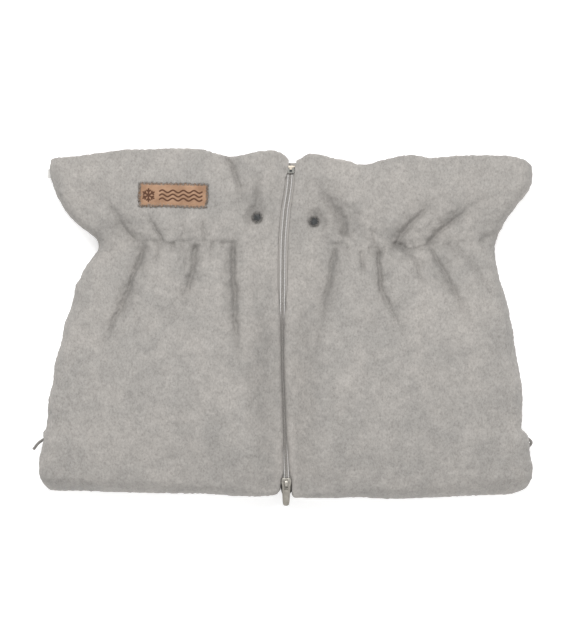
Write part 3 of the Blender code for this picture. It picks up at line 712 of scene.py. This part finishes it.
def leather_material():
    """Smooth tan leather with a stamped mark: the mark and the edge are darker."""
    m = Shader("tan_leather", rough=0.62, spec=0.35)
    grain = m.cells(1500)
    cloud = m.noise(90, 4, 0.6)
    fine = m.noise(900, 4, 0.7)
    tone = m.ramp(cloud, [(0.34, (0.275, 0.155, 0.088)), (0.66, (0.45, 0.275, 0.172))])
    tone = m.mix(m.times(fine, 0.35), tone, (0.33, 0.19, 0.115))
    tone = m.mix(m.attribute("edge"), tone, (0.13, 0.078, 0.045))
    tone = m.mix(m.attribute("mark"), tone, (0.085, 0.032, 0.013))
    return m.finish(tone, m.plus(m.times(grain, 0.7), fine), 0.10 * MM, 0.5)


def cord_material():
    m = Shader("braided_cord", rough=0.8, sheen=0.15, spec=0.2)
    a = m.wave(520, m.stretch((1, 1, 1), (0.3, 0, 0.75)))
    b = m.wave(520, m.stretch((1, 1, 1), (0.3, 0, -0.75)))
    braid = m.maths("MAXIMUM", a, b)
    return m.finish(m.mix(braid, grey(0.13), grey(0.36)), braid, 0.3 * MM, 0.8)


def elastic_material():
    m = Shader("ribbed_elastic", rough=0.75, sheen=0.1, spec=0.2)
    ribs = m.wave(260, m.stretch((1, 0, 0)))
    return m.finish(m.mix(ribs, (0.55, 0.55, 0.53), (0.78, 0.78, 0.76)), ribs, 0.3 * MM, 0.8)


def label_material():
    m = Shader("woven_tag", rough=0.7, spec=0.2)
    warp = m.wave(700, m.stretch((1, 0, 0)))
    return m.finish(m.mix(warp, (0.70, 0.69, 0.67), (0.86, 0.85, 0.83)), warp, 0.06 * MM, 0.6)


MATS = dict(
    fleece=fleece_material("grey_fleece", 0.345),
    sherpa=sherpa_material(),
    tape=tape_material(),
    coil=coil_material(),
    stitch=thread_material("pale_thread", 0.70, 0.02),
    brass=metal_material("pale_brass", (0.70, 0.62, 0.52), 0.40, 0.7),
    nickel=metal_material("worn_nickel", (0.42, 0.40, 0.36), 0.42, 0.55),
    box=metal_material("dull_nickel", (0.31, 0.305, 0.285), 0.55, 0.7),
    gunmetal=metal_material("gunmetal", (0.19, 0.196, 0.198), 0.9, 0.6),
    pull=pull_material(),
    leather=leather_material(),
    brown=thread_material("brown_thread", 0.16, 0.18),
    cord=cord_material(),
    elastic=elastic_material(),
    label=label_material(),
)


# ---- camera and cords come first

def make_camera():
    """Straight above the muff, far enough off that tall folds don't lean."""
    data = bpy.data.cameras.new("camera")
    away, across = 4.0, 0.630
    data.sensor_width = 36.0
    data.lens = data.sensor_width * away / across
    data.clip_end = 50.0
    obj = linked("camera", data)
    obj.location = (-1.0 * MM, 12.0 * MM, 15 * MM + away)
    bpy.context.scene.camera = obj


CORD_D = 3.0 * MM
LEFT_CORD = [(-219, -116, 13.5), (-229, -113.5, 13.3), (-239, -111.5, 12.6), (-247, -115.5, 10.4),
             (-253, -122.5, 8.0)]
RIGHT_CORD = [(222, -111, 13.3), (232, -110.4, 13.3), (240, -110.6, 12.6), (245.6, -115.6, 11.4),
              (240.4, -121, 11.6), (232, -121.6, 13.0), (222, -121.4, 13.3)]


def make_cord(name, points):
    """Braided cord of one side slit, drawn along the CAD's own route."""
    line = route(np.array(points) * MM, 6)
    curve = bpy.data.curves.new(name, "CURVE")
    curve.dimensions = "3D"
    curve.bevel_depth = CORD_D / 2
    curve.bevel_resolution = 6
    curve.use_fill_caps = True
    course = curve.splines.new("POLY")
    course.points.add(len(line) - 1)
    for point, place in zip(course.points, line):
        point.co = (*place, 1.0)
    obj = linked(name, curve)
    curve.materials.append(MATS["cord"])
    side = name.split("_")[0]
    piece(obj, f"{side}_mitt", "cord", f"{side}_side_cord")


# ---- fabric

def piece(obj, body, slot, *nodes):
    """Make a piece ride on a body, standing for the CAD nodes it replaces; slot is not used."""
    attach(obj, body)
    if nodes:
        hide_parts(*nodes)


def make_front(name):
    """Front fleece of a mitt: the panel, and the round of it that lifts with the press stud."""
    mitt, body = MITTS[name], f"{name}_mitt"
    grid = tucked(panel_grid(name, "front", FRONT_PITCH), 1, mitt["sign"])
    cell = (grid[:-1, :-1] + grid[1:, 1:]) / 2
    below_mouth = np.arange(len(grid) - 1)[:, None] < len(grid) - 1 - MOUTH_ROWS
    near = (snap_distance(name, cell[..., 0], cell[..., 1]) < SNAP_REACH) & below_mouth
    panel = mesh_from_grid(f"{name}_front_fleece", grid, 1, "fleece", ~near)
    piece(panel, body, "fleece", f"{name}_front_shell")
    surround = mesh_from_grid(f"{name}_snap_surround", grid, 1, "fleece", near)
    sx, sy = SNAPS[name]
    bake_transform(surround, body, f"{name}_snap", start=(sx - SNAP_REACH, sy, SNAP_Z),
             end=(sx, sy, SNAP_Z))
    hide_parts(f"{name}_snap_patch")
    for obj in (panel, surround):
        x, y = np.array([v.co[:2] for v in obj.data.vertices]).T
        r = snap_distance(name, x, y)
        # painted shade round the press stud, where its dimple lies, added to the creases' painted shade
        stud_shade = 1.15 * np.exp(-(r / (6.0 * MM)) ** 3) * (1.0 + 0.8 * value_noise(x, y, 2.2, 91))
        paint(obj, "painted_shade", np.clip(creased(mitt, x, y)[1] + stud_shade, 0.0, 1.25))
        if obj is surround:     # lifts by distance from the stud, not along one direction
            weight = 1.0 - smooth((r - 5.5 * MM) / (SNAP_REACH - 8.5 * MM))
            blend = obj.data.attributes["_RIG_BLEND"].data
            blend.foreach_set("value", weight.astype(np.float32))
    return panel, surround


def make_back(name):
    grid = tucked(panel_grid(name, "back", BACK_PITCH), -1, MITTS[name]["sign"])
    panel = mesh_from_grid(f"{name}_back_fleece", grid, -1, "fleece")
    piece(panel, f"{name}_mitt", "fleece", f"{name}_back_shell")
    return panel


def make_lining(name, part):
    """Curly pile lining, a few millimetres inside its panel and closing up to it at the mouth."""
    up = 1 if part == "front" else -1
    full = panel_grid(name, part, LINING_PITCH, inset=5 * MM)
    grid = full[:-MOUTH_ROWS]
    rim_radius = np.abs(full[-len(MOUTH_TUCKS) - 1, :, 2:] - grid[-1, :, 2:]) / 2
    from_mouth = smooth(np.arange(len(grid))[::-1, None, None] / 5.0)
    end_depth = 0.75 * rim_radius
    grid = grid - sheet_normals(grid, up) * (end_depth + (LINING_DEPTH - end_depth) * from_mouth)
    curls = value_noise(grid[..., 0], grid[..., 1], 5.5, MITTS[name]["seed"] + 40)
    grid[..., 2] -= up * 0.7 * MM * curls * from_mouth[..., 0]
    lining = mesh_from_grid(f"{name}_{part}_pile_lining", grid, -up, "sherpa")
    piece(lining, f"{name}_mitt", "sherpa", f"{name}_{part}_lining")
    return lining


def make_elastic(name, part):
    """Ribbed elastic in the waist casing, between shell and lining."""
    mitt = MITTS[name]
    up, height = (1, front_z) if part == "front" else (-1, back_z)
    t = np.linspace(0, 1, 110)
    outer_end = mitt["sign"] * spline(mitt["side"], np.full(t.shape, 82 * MM)) - 9 * MM
    s = 10 * MM * (1 - t) + outer_end * t
    across = np.linspace(-5 * MM, 5 * MM, 6)
    x = np.tile(mitt["sign"] * s, (len(across), 1))
    y = spline(mitt["waist"], x) + across[:, None]
    points = np.stack([x, y, height(name, x, y, 0.0)], axis=-1)
    points = points - sheet_normals(points, up) * 2.4 * MM
    strip = mesh_from_grid(f"{name}_{part}_waist_elastic", points, up, "elastic")
    thicken(strip, 0.6 * MM)
    piece(strip, f"{name}_mitt", "elastic", f"{name}_{part}_elastic")


def declare_sheets(name):
    """Front and back panels, their linings and the waist elastics of one mitt."""
    front, surround = make_front(name)
    make_back(name)
    make_lining(name, "front")
    make_lining(name, "back")
    for part in ("front", "back"):
        make_elastic(name, part)


# ---- zip

def tube(line, radius, sides=8):
    """A round tube along a line of points; the radius may change along it."""
    tangent = np.gradient(line, axis=0)
    tangent /= np.linalg.norm(tangent, axis=1, keepdims=True)
    a = np.cross(tangent, np.array([0.13, 0.21, 0.97]))
    a /= np.linalg.norm(a, axis=1, keepdims=True)
    b = np.cross(tangent, a)
    angle = np.linspace(0, 2 * math.pi, sides, endpoint=False)[None, :, None]
    radius = np.asarray(radius, dtype=float).reshape(-1, 1, 1)
    ring = line[:, None] + radius * (a[:, None] * np.cos(angle) + b[:, None] * np.sin(angle))
    index = np.arange(len(line) * sides).reshape(len(line), sides)
    nxt = np.roll(index, -1, axis=1)
    quads = np.stack([index[:-1], nxt[:-1], nxt[1:], index[1:]], axis=-1).reshape(-1, 4)
    return ring.reshape(-1, 3), quads


def merged(name, parts, mat):
    """One mesh from several lots of points and quads."""
    verts, quads = zip(*parts)
    starts = np.cumsum([0, *map(len, verts[:-1])])
    quads = [q + start for q, start in zip(quads, starts)]
    return new_mesh(name, np.concatenate(verts), np.concatenate(quads), mat)


def along_chain(s, y, z):
    """Points at distance s to the +X side of the visible chain."""
    return np.stack([chain_x(y) + s, y, z], axis=-1)


TAPE_TAIL = 11 * MM             # tape running on under the retainer box
COIL_PITCH = 1.45 * MM
COIL_TOP = COIL_HIGH.y + 4.4 * MM   # the coil runs up to the retainer box
PLATE = 1.1                     # slider plates, in millimetres


def make_tape(name):
    """Zip tape with lengthways cords; its ends run on under the retainer box."""
    sign = MITTS[name]["sign"]
    s = np.array([0.6, 0.9, 1.5, 2.0, 2.6, 3.2, 3.8, 4.4, 5.0, 5.6, 6.4, 7.6, 9.0, 10.5, 12.0,
                  13.2, 13.5])
    ss, yy = np.meshgrid(s * MM, np.linspace(TAPE_LOW.y, TAPE_HIGH.y + TAPE_TAIL, 230))
    ss[:, 0] *= yy[:, 0] < COIL_TOP - 3.4 * MM      # the two tapes meet above the coil
    hem = spline(MITTS[name]["bottom"], chain_x(yy) + sign * ss) + 2.6 * MM
    tuck = np.maximum(0.0, hem - TAPE_LOW.y) * rise(ss, 4.2, 1.6)
    yy = yy + tuck * (TAPE_HIGH.y - yy) / (TAPE_HIGH.y - TAPE_LOW.y) * (yy < TAPE_HIGH.y)
    cords = np.abs(np.sin(ss / MM * math.pi / 1.2))
    lift = 0.10 * cords + 0.02 * np.sin(yy / MM * math.pi / 1.1) - 0.25 * (ss < 1.1 * MM)
    if name == "left":      # its tail lies lower, so that the right one can turn over it
        lift -= 0.9 * smooth((yy - COIL_TOP) / (2.5 * MM))
    points = along_chain(sign * ss, yy, TAPE_Z + (0.25 + lift) * MM)
    tape = mesh_from_grid(f"{name}_tape_weave", points, 1, "tape")
    # painted shadow on the tape's lowest end, under the slider and pull
    paint(tape, "end_shadow", 1.0 - rise(yy, -157.5, 3))
    thicken(tape, 0.6 * MM)
    piece(tape, f"{name}_mitt", "tape", f"{name}_zip_tape")


def make_coil(name):
    """Moulded coil: a flattened helix whose turns reach between those of the other side."""
    turns = int((COIL_TOP - COIL_LOW.y) / COIL_PITCH)
    t = np.arange(turns * 12 + 1) / 12
    phase = 0.0 if name == "left" else 0.5
    y = COIL_LOW.y + (t + phase) * COIL_PITCH * (turns - 1) / turns
    angle = 2 * math.pi * t
    s = 1.25 * MM - 1.45 * MM * np.cos(angle)
    line = along_chain(MITTS[name]["sign"] * s, y, TAPE_Z + 1.75 * MM - 0.72 * MM * np.sin(angle))
    coil = merged(f"{name}_coil_teeth", [tube(line, 0.30 * MM, 6)], "coil")
    piece(coil, f"{name}_mitt", "coil", f"{name}_zip_coil")


def make_stitching(name):
    """Chain stitch over the coil: one pale bead a turn."""
    beads = []
    arc = np.linspace(0, math.pi, 9)
    s = np.full(9, MITTS[name]["sign"] * 2.00 * MM)
    for k in range(int((COIL_TOP - COIL_LOW.y) / COIL_PITCH)):
        y = COIL_LOW.y + (k + 0.5) * COIL_PITCH - 0.36 * MM * np.cos(arc)
        line = along_chain(s, y, TAPE_Z + 2.05 * MM + 0.35 * MM * np.sin(arc))
        beads.append(tube(line, 0.78 * MM * np.sin(0.25 + arc * 0.84)))
    piece(merged(f"{name}_coil_stitching", beads, "stitch"), f"{name}_mitt", "tape")


def sew(name, places, directions, length, radius, mat):
    """Small raised stitches at places, each along its own direction."""
    arc = np.linspace(0, math.pi, 6)
    taper = np.array([0.4, 0.85, 1.0, 1.0, 0.85, 0.4])
    parts = []
    for p, d in zip(places, directions):
        line = p + np.outer(-np.cos(arc) * length / 2, d)
        line[:, 2] += np.sin(arc) * radius * 0.9 - radius * 0.3
        parts.append(tube(line, radius * taper, 6))
    return merged(name, parts, mat)


def prism(name, outline, z0, z1, edge, mat):
    """A flat plate with rounded edges from a plan outline; everything in millimetres."""
    count = len(outline)
    verts = [(x * MM, y * MM, z * MM) for z in (z0, z1) for x, y in outline]
    faces = [tuple(range(count))[::-1], tuple(range(count, 2 * count))]
    faces += [(k, (k + 1) % count, (k + 1) % count + count, k + count) for k in range(count)]
    mesh = bpy.data.meshes.new(name)
    mesh.from_pydata(verts, [], faces)
    mesh.materials.append(MATS[mat])
    obj = linked(name, mesh)
    bevel(obj, edge * MM, 3, 40)
    mesh.shade_smooth()
    return obj


def on_zip(obj, y, z=0.0):
    """Put a piece made about its own origin on the CAD's zip line."""
    obj.location = (ZIP_X0 + LEAN * y, y, z)
    obj.rotation_euler = (0, 0, -math.atan(LEAN))


def make_slider():
    """Slider of shield plan with side flanges, bridge, and a strap-like bail."""
    centre = (SLIDER_LOW.y + SLIDER_HIGH.y) / 2
    half = [(3.0, -7.5), (4.1, -6.3), (4.3, -1.0), (5.0, 3.0), (5.0, 5.2), (4.2, 6.8), (2.4, 7.5)]
    plan = [*half, (0.0, 6.7), *((-x, y) for x, y in half[::-1])]
    top1, low0 = SLIDER_HIGH.z / MM, SLIDER_LOW.z / MM
    top0, low1 = top1 - PLATE, low0 + PLATE
    top = prism("slider_top_plate", plan, top0, top1, 0.35, "nickel")
    low = prism("slider_base_plate", plan, low0, low1, 0.35, "nickel")
    flanges = []
    for side, sign in (("left", -1), ("right", 1)):
        edge = [(4.2, -6.0), (4.3, -1.0), (4.95, 3.0), (4.95, 5.0), (4.3, 5.0), (4.3, 3.1),
                (3.8, -1.0), (3.75, -6.0)][::sign]
        flanges.append(prism(f"slider_flange_{side}", [(sign * x, y) for x, y in edge],
                             top0 - 0.55, top0 + 0.2, 0.15, "nickel"))
    post = [(-0.5, -6), (0.5, -6), (0.5, -2.5), (-0.5, -2.5)]
    bridge = prism("slider_bridge_post", post, low1 - 0.3, top0 + 0.3, 0.1, "nickel")
    for obj in (top, low, bridge, *flanges):
        on_zip(obj, centre)
        piece(obj, "slider", "nickel")
    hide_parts("zip_slider_body")
    reach, rise_by, half_width = 4.2 * MM, 3.5 * MM, 1.55 * MM
    a = np.linspace(0, math.pi, 24)
    path_y = -reach * np.cos(a)
    path_z = SLIDER_HIGH.z - 0.2 * MM + (rise_by + 0.2 * MM) * np.sin(a) ** 0.6
    points = np.stack([np.stack([np.full(24, dx), path_y, path_z], axis=-1)
                       for dx in np.linspace(-half_width, half_width, 7)], axis=0)
    bail = mesh_from_grid("slider_bail_strap", points, 1, "nickel")
    thicken(bail, 0.75 * MM)
    bevel(bail, 0.2 * MM)
    on_zip(bail, PULL_PIVOT.y)
    piece(bail, "slider", "nickel", "zip_slider_bail")


def make_box_mouth():
    """Folded mouth of the retainer box: a pale V of metal over a dark plate, painted shadow for the slot of
    the pin.
    """
    low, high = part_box("zip_retainer_box")
    cx, cy, top = (low.x + high.x) / 2 / MM, (low.y + high.y) / 2 / MM, high.z / MM
    collar = [(-3.2, 1.9), (-1.3, 1.0), (0.0, -0.7), (1.3, -0.7), (2.4, 1.0), (4.9, 1.9),
              (4.9, 3.2), (-3.2, 3.2)]
    # box_slot: a dark plate laid on the box top as painted shadow for the slot's opening
    slot = [(1.5 * math.cos(a) + 0.7, 1.1 * math.sin(a) - 1.9)
            for a in np.linspace(0, 2 * math.pi, 18)[:-1]]
    for name, plan, proud, mat in (("box_collar", collar, 0.55, "brass"),
                                   ("box_slot", slot, 0.12, "gunmetal")):
        outline = [(cx + x, cy + y) for x, y in plan]
        plate = prism(name, outline, top - 0.3, top + proud, 0.1, mat)
        piece(plate, "left_mitt", "nickel")


def make_snap_pile(name):
    """Pile round a press stud leaning over the edge of its cap."""
    rng = np.random.default_rng(MITTS[name]["seed"] + 60)
    sx, sy = SNAPS[name]
    tufts, shades = [], []
    t = np.linspace(0, 1, 6)
    for a in rng.uniform(0, 2 * math.pi, 260):
        lean = a + rng.normal(0, 0.6)
        start = 4.5 + abs(rng.normal(0, 1.3))
        length = rng.uniform(0.8, 2.2) * (1.15 + 0.55 * math.sin(5 * a + 0.8 * math.sin(3 * a)))
        flat = min(1.0, (start - 4.2) / 2.0)
        bend = -1.7 + (1.9 - 1.3 * flat) * np.sin(t * 1.9) - 0.4 * t
        line = np.stack([sx + (start * math.cos(a) - length * t * math.cos(lean)) * MM,
                         sy + (start * math.sin(a) - length * t * math.sin(lean)) * MM,
                         CAP_Z + bend * MM], axis=-1)
        tufts.append(tube(line, np.linspace(0.26, 0.06, 6) * MM, 4))
        # painted shade: tufts that start nearer the cap are darker
        shades.append(max(0.1, 1.25 - 0.33 * (start - 4.2) + rng.normal(0, 0.25)))
    pile = merged(f"{name}_snap_pile", tufts, "fleece")
    paint(pile, "painted_shade", np.repeat(shades, 6 * 4))
    piece(pile, f"{name}_snap", "fleece")


def make_pull():
    """Pull tab: a waisted plate with an eye that loops under the bail, and a dished grip."""
    half = [(0.0, 0.9), (2.6, 0.9), (3.35, 0.3), (3.45, -1.0), (3.3, -5.5), (3.9, -8.0),
            (3.95, -10.0), (3.65, -15.0), (3.25, -20.0), (2.5, -21.4), (1.2, -22.0), (0.0, -22.05)]
    outline = half + [(-x, y) for x, y in half[-2:0:-1]]
    hole = [(-2.05, -5.9), (2.05, -5.9), (2.05, -0.7), (-2.05, -0.7)]
    tab = prism("zip_pull", outline, -0.65, 0.65, 0.28, "pull")
    eye = prism("pull_eye_cutter", hole, -3, 3, 0.3, "pull")
    grip = [(-2.3, -9.2), (2.3, -9.2), (2.35, -12), (2.0, -18.4), (1.4, -19.8), (-1.4, -19.8),
            (-2.0, -18.4), (-2.35, -12), (-2.3, -9.2)]
    ring = route([(x * MM, y * MM, 0.66 * MM) for x, y in grip], 4)
    bead = merged("pull_grip_bead", [tube(ring, 0.22 * MM, 6)], "pull")
    for obj in (tab, eye, bead):
        on_zip(obj, PULL_PIVOT.y, PULL_PIVOT.z)
    mod = tab.modifiers.new("eye", "BOOLEAN")
    mod.operation, mod.object = "DIFFERENCE", eye
    bpy.context.view_layer.update()
    evaluated = tab.evaluated_get(bpy.context.evaluated_depsgraph_get())
    tab.data = bpy.data.meshes.new_from_object(evaluated)
    tab.data.name = "zip_pull"
    tab.modifiers.clear()
    bpy.data.objects.remove(eye, do_unlink=True)
    tab.data.set_sharp_from_angle(angle=math.radians(35))
    piece(tab, "pull", "pull", "zip_pull_tab")
    piece(bead, "pull", "pull")


# ---- label and tag

LABEL_AT, LABEL_W, LABEL_H = (-112 * MM, 131 * MM), 68 * MM, 25 * MM
LABEL_TURN = math.radians(-1.2)


def motif_lines():
    """A plain snow star and three waves, in millimetres about the label's middle."""
    lines = []
    cx, cy, arm = -24.5, -0.6, 6.2
    for k in range(6):
        a = math.radians(60 * k + 30)
        tip = (cx + arm * math.cos(a), cy + arm * math.sin(a))
        lines.append([(cx, cy), tip])
        for turn in (-1, 1):
            b = a + turn * math.radians(50)
            root = (cx + 0.55 * arm * math.cos(a), cy + 0.55 * arm * math.sin(a))
            lines.append([root, (root[0] + 2.2 * math.cos(b), root[1] + 2.2 * math.sin(b))])
    for k, y0 in enumerate((3.6, -0.4, -4.4)):
        xs = np.linspace(-13.5, 28.5, 43)
        lines.append([(x, y0 + 1.25 * math.sin((x + 13.5) * math.pi / 5.25)) for x in xs])
    return lines


def make_label_pile(points):
    """Pile of the ruffle standing up round the label and leaning over its edges."""
    rng = np.random.default_rng(73)
    border = np.concatenate([points[0], points[-1], points[:, 0], points[:, -1]])
    row = points.shape[1]
    centre = points.mean(axis=(0, 1))
    tufts = []
    t = np.linspace(0, 1, 5)[:, None]
    rising = np.array([0, 0, 1.0]) * (2.1 * MM * np.sin(t * 1.9))
    for k in rng.permutation(len(border))[:400]:
        base = border[k] + np.array([*rng.uniform(-0.5, 0.5, 2), 0.0]) * MM
        inward = np.array([(base[0] < centre[0]) * 2.0 - 1, 0, 0])
        if k < 2 * row:
            inward = np.array([0.0, 1.0 if k < row else -1.0, 0.0])
        inward = inward + np.array([*rng.uniform(-0.8, 0.8, 2), 0.0])
        length = rng.uniform(0.6, 2.8) * MM
        start = base - inward * 0.7 * MM - np.array([0, 0, 1.6 * MM])
        line = start + inward * (0.7 * MM + length) * t + rising
        tufts.append(tube(line, np.linspace(0.30, 0.07, 5) * MM, 4))
    pile = merged("label_border_pile", tufts, "fleece")
    # painted shade on the tufts round the label, of random strength per tuft
    paint(pile, "painted_shade", np.repeat(rng.uniform(0.0, 0.5, len(tufts)), 5 * 4))
    piece(pile, "left_mitt", "fleece")


def make_label():
    """Leather label sewn to the left ruffle, its edges pulled down into the pile."""
    nx, ny = 204, 78
    uu, vv = np.meshgrid(np.linspace(-0.5, 0.5, nx) * LABEL_W,
                         np.linspace(-0.5, 0.5, ny) * LABEL_H)
    gap = np.minimum(LABEL_W / 2 - np.abs(uu), LABEL_H / 2 - np.abs(vv))
    pinch = 1.1 * MM * np.cos(uu / MM * 2 * math.pi / 9.5) * (1 - rise(gap, 0, 4))
    stray = 0.9 * MM * value_noise(uu, vv, 5, 79) * (1 - rise(gap, 0, 3))
    us = uu + stray
    vs = vv - np.sign(vv) * np.abs(pinch) * (np.abs(vv) > LABEL_H / 2 - 5 * MM) + 0.6 * stray
    cos, sin = math.cos(LABEL_TURN), math.sin(LABEL_TURN)
    x = LABEL_AT[0] + us * cos - vs * sin
    y = LABEL_AT[1] + us * sin + vs * cos
    ground = front_z("left", x, y, 0.0)
    for _ in range(30):     # stiff leather bridges the fleece's small hollows
        ground[1:-1, 1:-1] = (ground[:-2, 1:-1] + ground[2:, 1:-1]
                              + ground[1:-1, :-2] + ground[1:-1, 2:]) / 4
    lift = 1.25 * MM + 0.7 * MM * rise(gap, 0, 5) + 0.12 * MM * value_noise(x, y, 9, 77)
    mark = np.zeros(uu.shape)
    for line in motif_lines():
        r, _ = distance_to_line(uu, vv, np.array(line) * MM)
        mark = np.maximum(mark, 1.0 - rise(r, 0.62, 0.35))
    points = np.stack([x, y, ground + lift - 0.22 * MM * mark], axis=-1)
    label = mesh_from_grid("leather_label", points, 1, "leather")
    grime = value_noise(x, y, 3.5, 78)
    edge = 1.0 - smooth((gap - 0.2 * MM) / ((2.2 + 1.2 * grime) * MM))
    paint(label, "mark", mark)
    paint(label, "edge", edge * 0.85)
    thicken(label, 1.2 * MM)
    piece(label, "left_mitt", "leather", "brand_patch")
    make_label_pile(points)
    pitch, margin = 3.4 * MM, 1.5 * MM
    along_u, along_v = (np.arange(int((size - 3 * MM) / pitch)) * pitch + first - size / 2
                        for size, first in ((LABEL_W, 3.9 * MM), (LABEL_H, 4.1 * MM)))
    places = [(u, v) for v in (margin - LABEL_H / 2, LABEL_H / 2 - margin) for u in along_u]
    directions = [(cos, sin, 0.0)] * len(places)
    places += [(u, v) for u in (margin - LABEL_W / 2, LABEL_W / 2 - margin) for v in along_v]
    directions += [(-sin, cos, 0.0)] * (len(places) - len(directions))
    index_u = [int(round((u / LABEL_W + 0.5) * (nx - 1))) for u, _ in places]
    index_v = [int(round((v / LABEL_H + 0.5) * (ny - 1))) for _, v in places]
    spots = points[index_v, index_u] + np.array([0, 0, 0.05 * MM])
    thread = sew("label_stitching", spots, np.array(directions), 2.3 * MM, 0.27 * MM, "brown")
    piece(thread, "left_mitt", "leather")


def make_care_tag():
    """Blank woven tag in the left side seam."""
    low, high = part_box("care_label")
    uu, vv = np.meshgrid(np.linspace(low.x, high.x, 12), np.linspace(low.y, high.y, 16))
    bulge = np.sin((vv - low.y) / (high.y - low.y) * math.pi)
    points = np.stack([uu, vv, SEAM_Z + 0.35 * MM * bulge + 0.1 * MM], axis=-1)
    tag = mesh_from_grid("care_tag", points, 1, "label")
    thicken(tag, 0.5 * MM)
    piece(tag, "left_mitt", "label", "care_label")


# ---- stage

def repaint_nodes():
    """CAD nodes whose shape is right keep it, with better materials; the retainer box also gets rounded
    edges.
    """
    looks = {"zip_retainer_box": "box", "zip_insertion_pin": "nickel",
             "left_zip_stop": "nickel", "right_zip_stop": "nickel"}
    for name in MITTS:
        for part in ("cap", "socket", "stud", "post"):
            looks[f"{name}_snap_{part}"] = "gunmetal"
    for node, mat in looks.items():
        for slot in NODES[node].material_slots:
            slot.material = MATS[mat]
    bevel(NODES["zip_retainer_box"], 0.2 * MM)


def make_stage():
    """White sweep floor and soft light from above, stronger from the mouth side."""
    bpy.ops.mesh.primitive_plane_add(size=12.0, location=(0, 0, -0.3 * MM))
    floor = bpy.context.object
    floor.name = "floor"
    paper = bpy.data.materials.new("white_paper")
    paper.use_nodes = True
    shader = paper.node_tree.nodes["Principled BSDF"]
    for key, value in (("Base Color", (0.93, 0.93, 0.93, 1)), ("Roughness", 0.9),
                       ("Emission Color", (1, 1, 1, 1)), ("Emission Strength", 0.40)):
        shader.inputs[key].default_value = value
    floor.data.materials.append(paper)
    world = bpy.data.worlds.new("studio")
    world.use_nodes = True
    sky = world.node_tree.nodes["Background"].inputs
    sky["Color"].default_value, sky["Strength"].default_value = (1.0, 1.0, 1.0, 1), 0.54
    bpy.context.scene.world = world
    for name, place, size, power in (("key", (-0.15, 1.7, 2.4), 1.5, 58),
                                     ("fill", (0.4, -1.2, 2.7), 2.2, 22)):
        light = bpy.data.lights.new(name, "AREA")
        light.energy, light.size = power, size
        obj = linked(name, light)
        obj.location = place
        obj.rotation_mode = "QUATERNION"
        obj.rotation_quaternion = (-Vector(place)).to_track_quat("-Z", "Y")
    bpy.context.scene.view_settings.view_transform = "Standard"


make_camera()
make_cord("left_cord_end", LEFT_CORD)
make_cord("right_cord_loop", RIGHT_CORD)
for name in MITTS:
    declare_sheets(name)
    make_tape(name)
    make_coil(name)
    make_stitching(name)
    make_snap_pile(name)
make_slider()
make_box_mouth()
make_pull()
make_label()
make_care_tag()
repaint_nodes()
make_stage()
